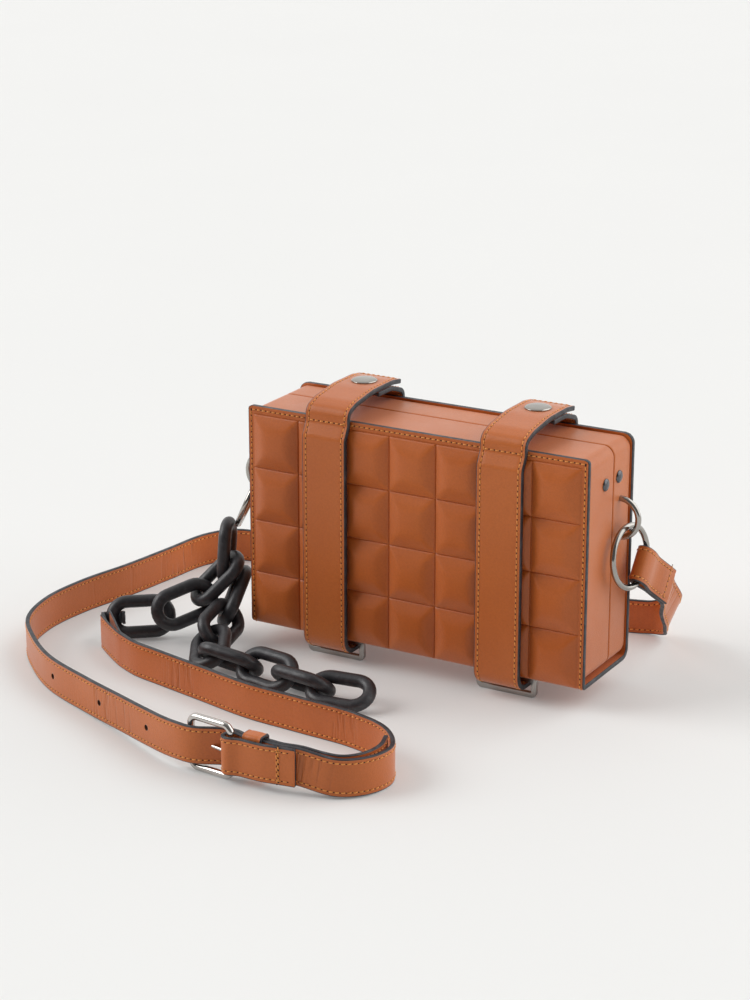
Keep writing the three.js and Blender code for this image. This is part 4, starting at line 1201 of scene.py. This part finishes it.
def doubled_seams(seams):
    """The two rows of stitches, up and down, that close the short strap's fold."""
    x, y, half = DOUBLED_END[1]
    surface = y - half - STRAP_THICKNESS / 2
    reach = STRAP_WIDTH / 2 - 0.4
    heights = BUCKLE_LEVEL + np.linspace(-reach, reach, ROW_POINTS)
    line = xyz(x, surface, heights)
    seams.row(line, [0, -1, 0])
    seams.row(line + [0.9, 0.05, 1.2], [0, -1, 0])


def long_strap():
    tip_side = TIP[1] - (FRAME_WIRE + STRAP_THICKNESS) / 2 - FIT_GAP
    over_fold = HEEL[1] + FOLD_RADIUS + PLY
    knots = ring_fold() + [floor_knot(*row) for row in LONG_ROUTE]
    knots += [buckle_knot(TIP[0] + dx, tip_side + dy) for dx, dy in PAST_TIP_BAR]
    knots += [buckle_knot(HEEL[0] - 4.2, over_fold - 0.1), buckle_knot(HEEL[0], over_fold)]
    knots += [buckle_knot(x, y + half + PLY) for x, y, half in reversed(DOUBLED_END)]
    knots += [floor_knot(*row) for row in TIP_ROUTE]
    at, across = smooth_strap(knots, STRAP_WIDTH)
    body = strap_part(at, across, STRAP_WIDTH, STRAP_THICKNESS)
    # The third material, painted shade, colours the walls of the punched holes.
    piece = dress("shoulder_strap_long", [body], [*STRAP[0], hole_shade_material], STRAP[1])
    seams = Seams()
    seams.strap_edges(at, across, STRAP_WIDTH, STRAP_THICKNESS)
    fold_seams(seams, at, across)
    seams.make("shoulder_strap_long")
    punch_holes(piece, at, across)


def fold_seams(seams, at, across):
    """A row of stitches across each side of the fold at the ring."""
    _, level, through = strap_axes(at, across)
    seam_place = ring_fold()[1][0]
    near = int(np.argmin(np.linalg.norm(at[:FOLD_STATIONS] - seam_place, axis=1)))
    reach = STRAP_WIDTH / 2 - 0.6
    widths = np.linspace(-reach, reach, ROW_POINTS)[:, None] * level[near]
    half = STRAP_THICKNESS / 2
    for out in (half, -half - PLY):
        seams.row(at[near] + through[near] * out + widths, through[near] * math.copysign(1, out))


def punch_holes(piece, at, across):
    """Cuts the spare buckle holes, counted back from the one that the prong is in; their walls take the dark
    painted-shade colour.
    """
    through = strap_axes(at, across)[2]
    s = lengths(at)
    ahead = np.where((at[:, 1] < -150) & (at[:, 0] < (HEEL[0] + TIP[0]) / 2))[0][-1]
    cutters = []
    for k in range(1, SPARE_HOLES + 1):
        i = int(np.argmin(np.abs(s - (s[ahead] - k * HOLE_SPACING))))
        cutters.append(tube([at[i] - through[i] * 4, at[i], at[i] + through[i] * 4], HOLE_RADIUS, 24))
    tool = make_piece("hole_tool", cutters, [hole_shade_material])
    cut = piece.modifiers.new("holes", "BOOLEAN")
    cut.operation, cut.solver, cut.object = "DIFFERENCE", "EXACT", tool
    # The cut walls take the cutter's painted-shade material.
    cut.material_mode = "TRANSFER"
    bpy.context.view_layer.update()
    graph = bpy.context.evaluated_depsgraph_get()
    mesh = bpy.data.meshes.new_from_object(piece.evaluated_get(graph))
    piece.modifiers.clear()
    piece.data = mesh
    bpy.data.objects.remove(tool)


# Buckle


def in_buckle_plane(along, height):
    """Point of the frame: a share of the way from the tip bar to the heel bar, and a height."""
    x, y = TIP + (HEEL - TIP) * along
    return np.array([x, y, FLOOR + FRAME_HEIGHT / 2 + height])


def buckle_frame():
    length = np.linalg.norm(HEEL - TIP)
    half = (FRAME_HEIGHT - FRAME_WIRE) / 2
    outline = rounded_rectangle(0, -half, length, half, (FRAME_CORNER, FRAME_CORNER), 10)
    closed = spaced(np.vstack([outline, outline[:1]]), 1.2)[:-1]
    line = [in_buckle_plane(a / length, h) for a, h in closed]
    straight = half - FRAME_CORNER
    thin = (closed[:, 0] > length - 0.2) & (np.abs(closed[:, 1]) < straight)
    part = tube(line, np.where(thin, HEEL_WIRE, FRAME_WIRE) / 2, closed=True, sides=24)
    dress("buckle_frame", [part], *BUCKLE_NICKEL)


def buckle_prong():
    """Eye round the heel bar and rod that lies against the tip bar."""
    length = np.linalg.norm(HEEL - TIP)
    clear = (FRAME_WIRE + PRONG_WIRE) / 2 + FIT_GAP
    way = turned_in_plane(unit(TIP - HEEL), -math.asin(clear / length))
    way = np.array([way[0], way[1], 0])
    start = np.array([HEEL[0], HEEL[1], BUCKLE_LEVEL])
    eye = PRONG_EYE + [(r, -h) for r, h in reversed(PRONG_EYE)]
    angle = np.linspace(0, 2 * np.pi, 28, endpoint=False)
    wheel = xyz(np.cos(angle), np.sin(angle), 0)
    ring = loft([start + wheel * r + UP * h for r, h in eye], closed=True)
    end = length + PRONG_REACH
    places = [2.0, 8, 16, end - 1.2, end - 0.4, end]
    rod = tube([start + way * d for d in places], [1.0, 1.0, 1.0, 0.98, 0.75, 0.3], 16)
    dress("buckle_prong", [ring, rod], *BUCKLE_NICKEL)


def keeper():
    """Leather band round the main ply and the free end."""
    front = HEEL[1] + KEEPER_PLY - STRAP_THICKNESS / 2 - FIT_GAP
    back = HEEL[1] + KEEPER_PLY + PLY + STRAP_THICKNESS / 2 + FIT_GAP
    reach, t = STRAP_WIDTH / 2 + KEEPER_ROOM, KEEPER_THICKNESS / 2
    box = (front - t, BUCKLE_LEVEL - reach - t, back + t, BUCKLE_LEVEL + reach + t)
    line = rounded_rectangle(*box, (KEEPER_CORNER, KEEPER_CORNER), 8)
    section, kinds = strap_section(KEEPER_WIDTH, KEEPER_THICKNESS, KEEPER_STITCH_INSET, 4)
    band = closed_band(xyz(KEEPER_X, line[:, 0], line[:, 1]), section, np.array([1.0, 0, 0]), kinds)
    dress("strap_keeper", [band], *LEATHER)


# Chain


def link_turn(heading, pitch, roll):
    angles = ((heading, "Z"), (-pitch, "Y"), (roll, "X"))
    about_z, about_y, about_x = (Matrix.Rotation(math.radians(a), 3, axis) for a, axis in angles)
    return np.array(about_z @ about_y @ about_x)


def stadium(length, width, steps=14):
    """Line of a link, to the middle of its wire."""
    r, half = width / 2, (length - width) / 2
    points = []
    for centre, start in ((half, -math.pi / 2), (-half, math.pi / 2)):
        for k in range(steps + 1):
            a = start + math.pi * k / steps
            points.append((centre + r * math.cos(a), r * math.sin(a), 0))
        points.append((centre - math.copysign(half, centre) * 0.5, math.copysign(r, centre), 0))
    return np.array(points)


def chain():
    line = stadium(LINK_LENGTH - LINK_WIRE, LINK_WIDTH - LINK_WIRE)
    for i, (x, y, z, *angles) in enumerate(LINKS):
        placed = line @ link_turn(*angles).T + [x, y, z]
        part = tube(placed, LINK_WIRE / 2, 24, closed=True)
        dress(f"chain_link_{i + 1:02d}", [part], [resin_material], "black_resin", 60)


def tongue():
    """Narrow painted strip round the end wire of its link."""
    x, y, z, *angles = LINKS[TONGUE_LINK]
    turn = link_turn(*angles)
    along, across, near = turn[:, 0], turn[:, 1], -turn[:, 2]
    wire = np.array([x, y, z]) + along * (LINK_LENGTH - LINK_WIRE) / 2
    clear = (LINK_WIRE + TONGUE_THICKNESS) / 2 + FIT_GAP
    knots = [(np.array(p, float), UP) for p in TONGUE_ROOT]
    knots += [(wire + along * a * clear + near * b * clear, across) for a, b in TONGUE_TURN]
    at, widths = smooth_strap(knots, TONGUE_WIDTH, 0.9)
    body = strap_part(at, widths, TONGUE_WIDTH, TONGUE_THICKNESS, 4, 1.6)
    dress("strap_end_loop", [body], [paint_material, paint_material], "leather")


# Studio


def studio_floor():
    mesh = bpy.data.meshes.new("studio_floor")
    signs = ((-1, -1), (1, -1), (1, 1), (-1, 1))
    corners = [(x * FLOOR_SIZE, y * FLOOR_SIZE, FLOOR * MM) for x, y in signs]
    mesh.from_pydata(corners, [], [(0, 1, 2, 3)])
    mesh.materials.append(floor_finish())
    floor = bpy.data.objects.new("studio_floor", mesh)
    bpy.context.scene.collection.objects.link(floor)


def studio_world():
    """Soft light from all round, brighter from behind the bag than from in front."""
    world = bpy.data.worlds.new("studio")
    bpy.context.scene.world = world
    world.use_nodes = True
    nodes, links = world.node_tree.nodes, world.node_tree.links
    background = next(n for n in nodes if n.type == "BACKGROUND")
    background.inputs["Color"].default_value = WORLD_COLOUR
    direction = nodes.new("ShaderNodeTexCoord").outputs["Generated"]
    forwards = nodes.new("ShaderNodeVectorMath")
    forwards.operation = "DOT_PRODUCT"
    forwards.inputs[1].default_value = DARK_SIDE
    links.new(direction, forwards.inputs[0])
    light = nodes.new("ShaderNodeMapRange")
    light.interpolation_type = "SMOOTHSTEP"
    links.new(forwards.outputs["Value"], light.inputs["Value"])
    spans = {"From Min": DARK_FROM, "From Max": DARK_TO, "To Min": WORLD_BRIGHT, "To Max": WORLD_DARK}
    for socket, value in spans.items():
        light.inputs[socket].default_value = value
    links.new(light.outputs["Result"], background.inputs["Strength"])


def lamps():
    for name, turn, strength, spread in SUNS:
        sun = bpy.data.lights.new(name, "SUN")
        sun.energy, sun.angle = strength, math.radians(spread)
        lamp = bpy.data.objects.new(name, sun)
        lamp.rotation_mode = "QUATERNION"
        lamp.rotation_quaternion = Vector(turn).to_track_quat("Z", "Y")
        bpy.context.scene.collection.objects.link(lamp)


def camera():
    data = bpy.data.cameras.new("camera")
    data.sensor_width, data.lens = 36, CAMERA_LENS
    data.clip_start, data.clip_end = 0.05, 50
    eye = bpy.data.objects.new("camera", data)
    azimuth, elevation = (math.radians(a) for a in CAMERA_ANGLES)
    flat = math.cos(elevation)
    back = Vector((math.sin(azimuth) * flat, -math.cos(azimuth) * flat, math.sin(elevation)))
    eye.rotation_mode = "QUATERNION"
    eye.rotation_quaternion = back.to_track_quat("Z", "Y")
    eye.location = Vector(CAMERA_PLACE) * MM
    bpy.context.scene.collection.objects.link(eye)
    bpy.context.scene.camera = eye


camera()
studio_floor()
studio_world()
lamps()
bpy.context.scene.view_settings.view_transform = "Standard"
bpy.context.scene.view_settings.look = "None"
quilted_cover()
shells()
closing_straps()
side_fittings()
long_strap()
short_strap()
buckle_frame()
buckle_prong()
keeper()
chain()
tongue()
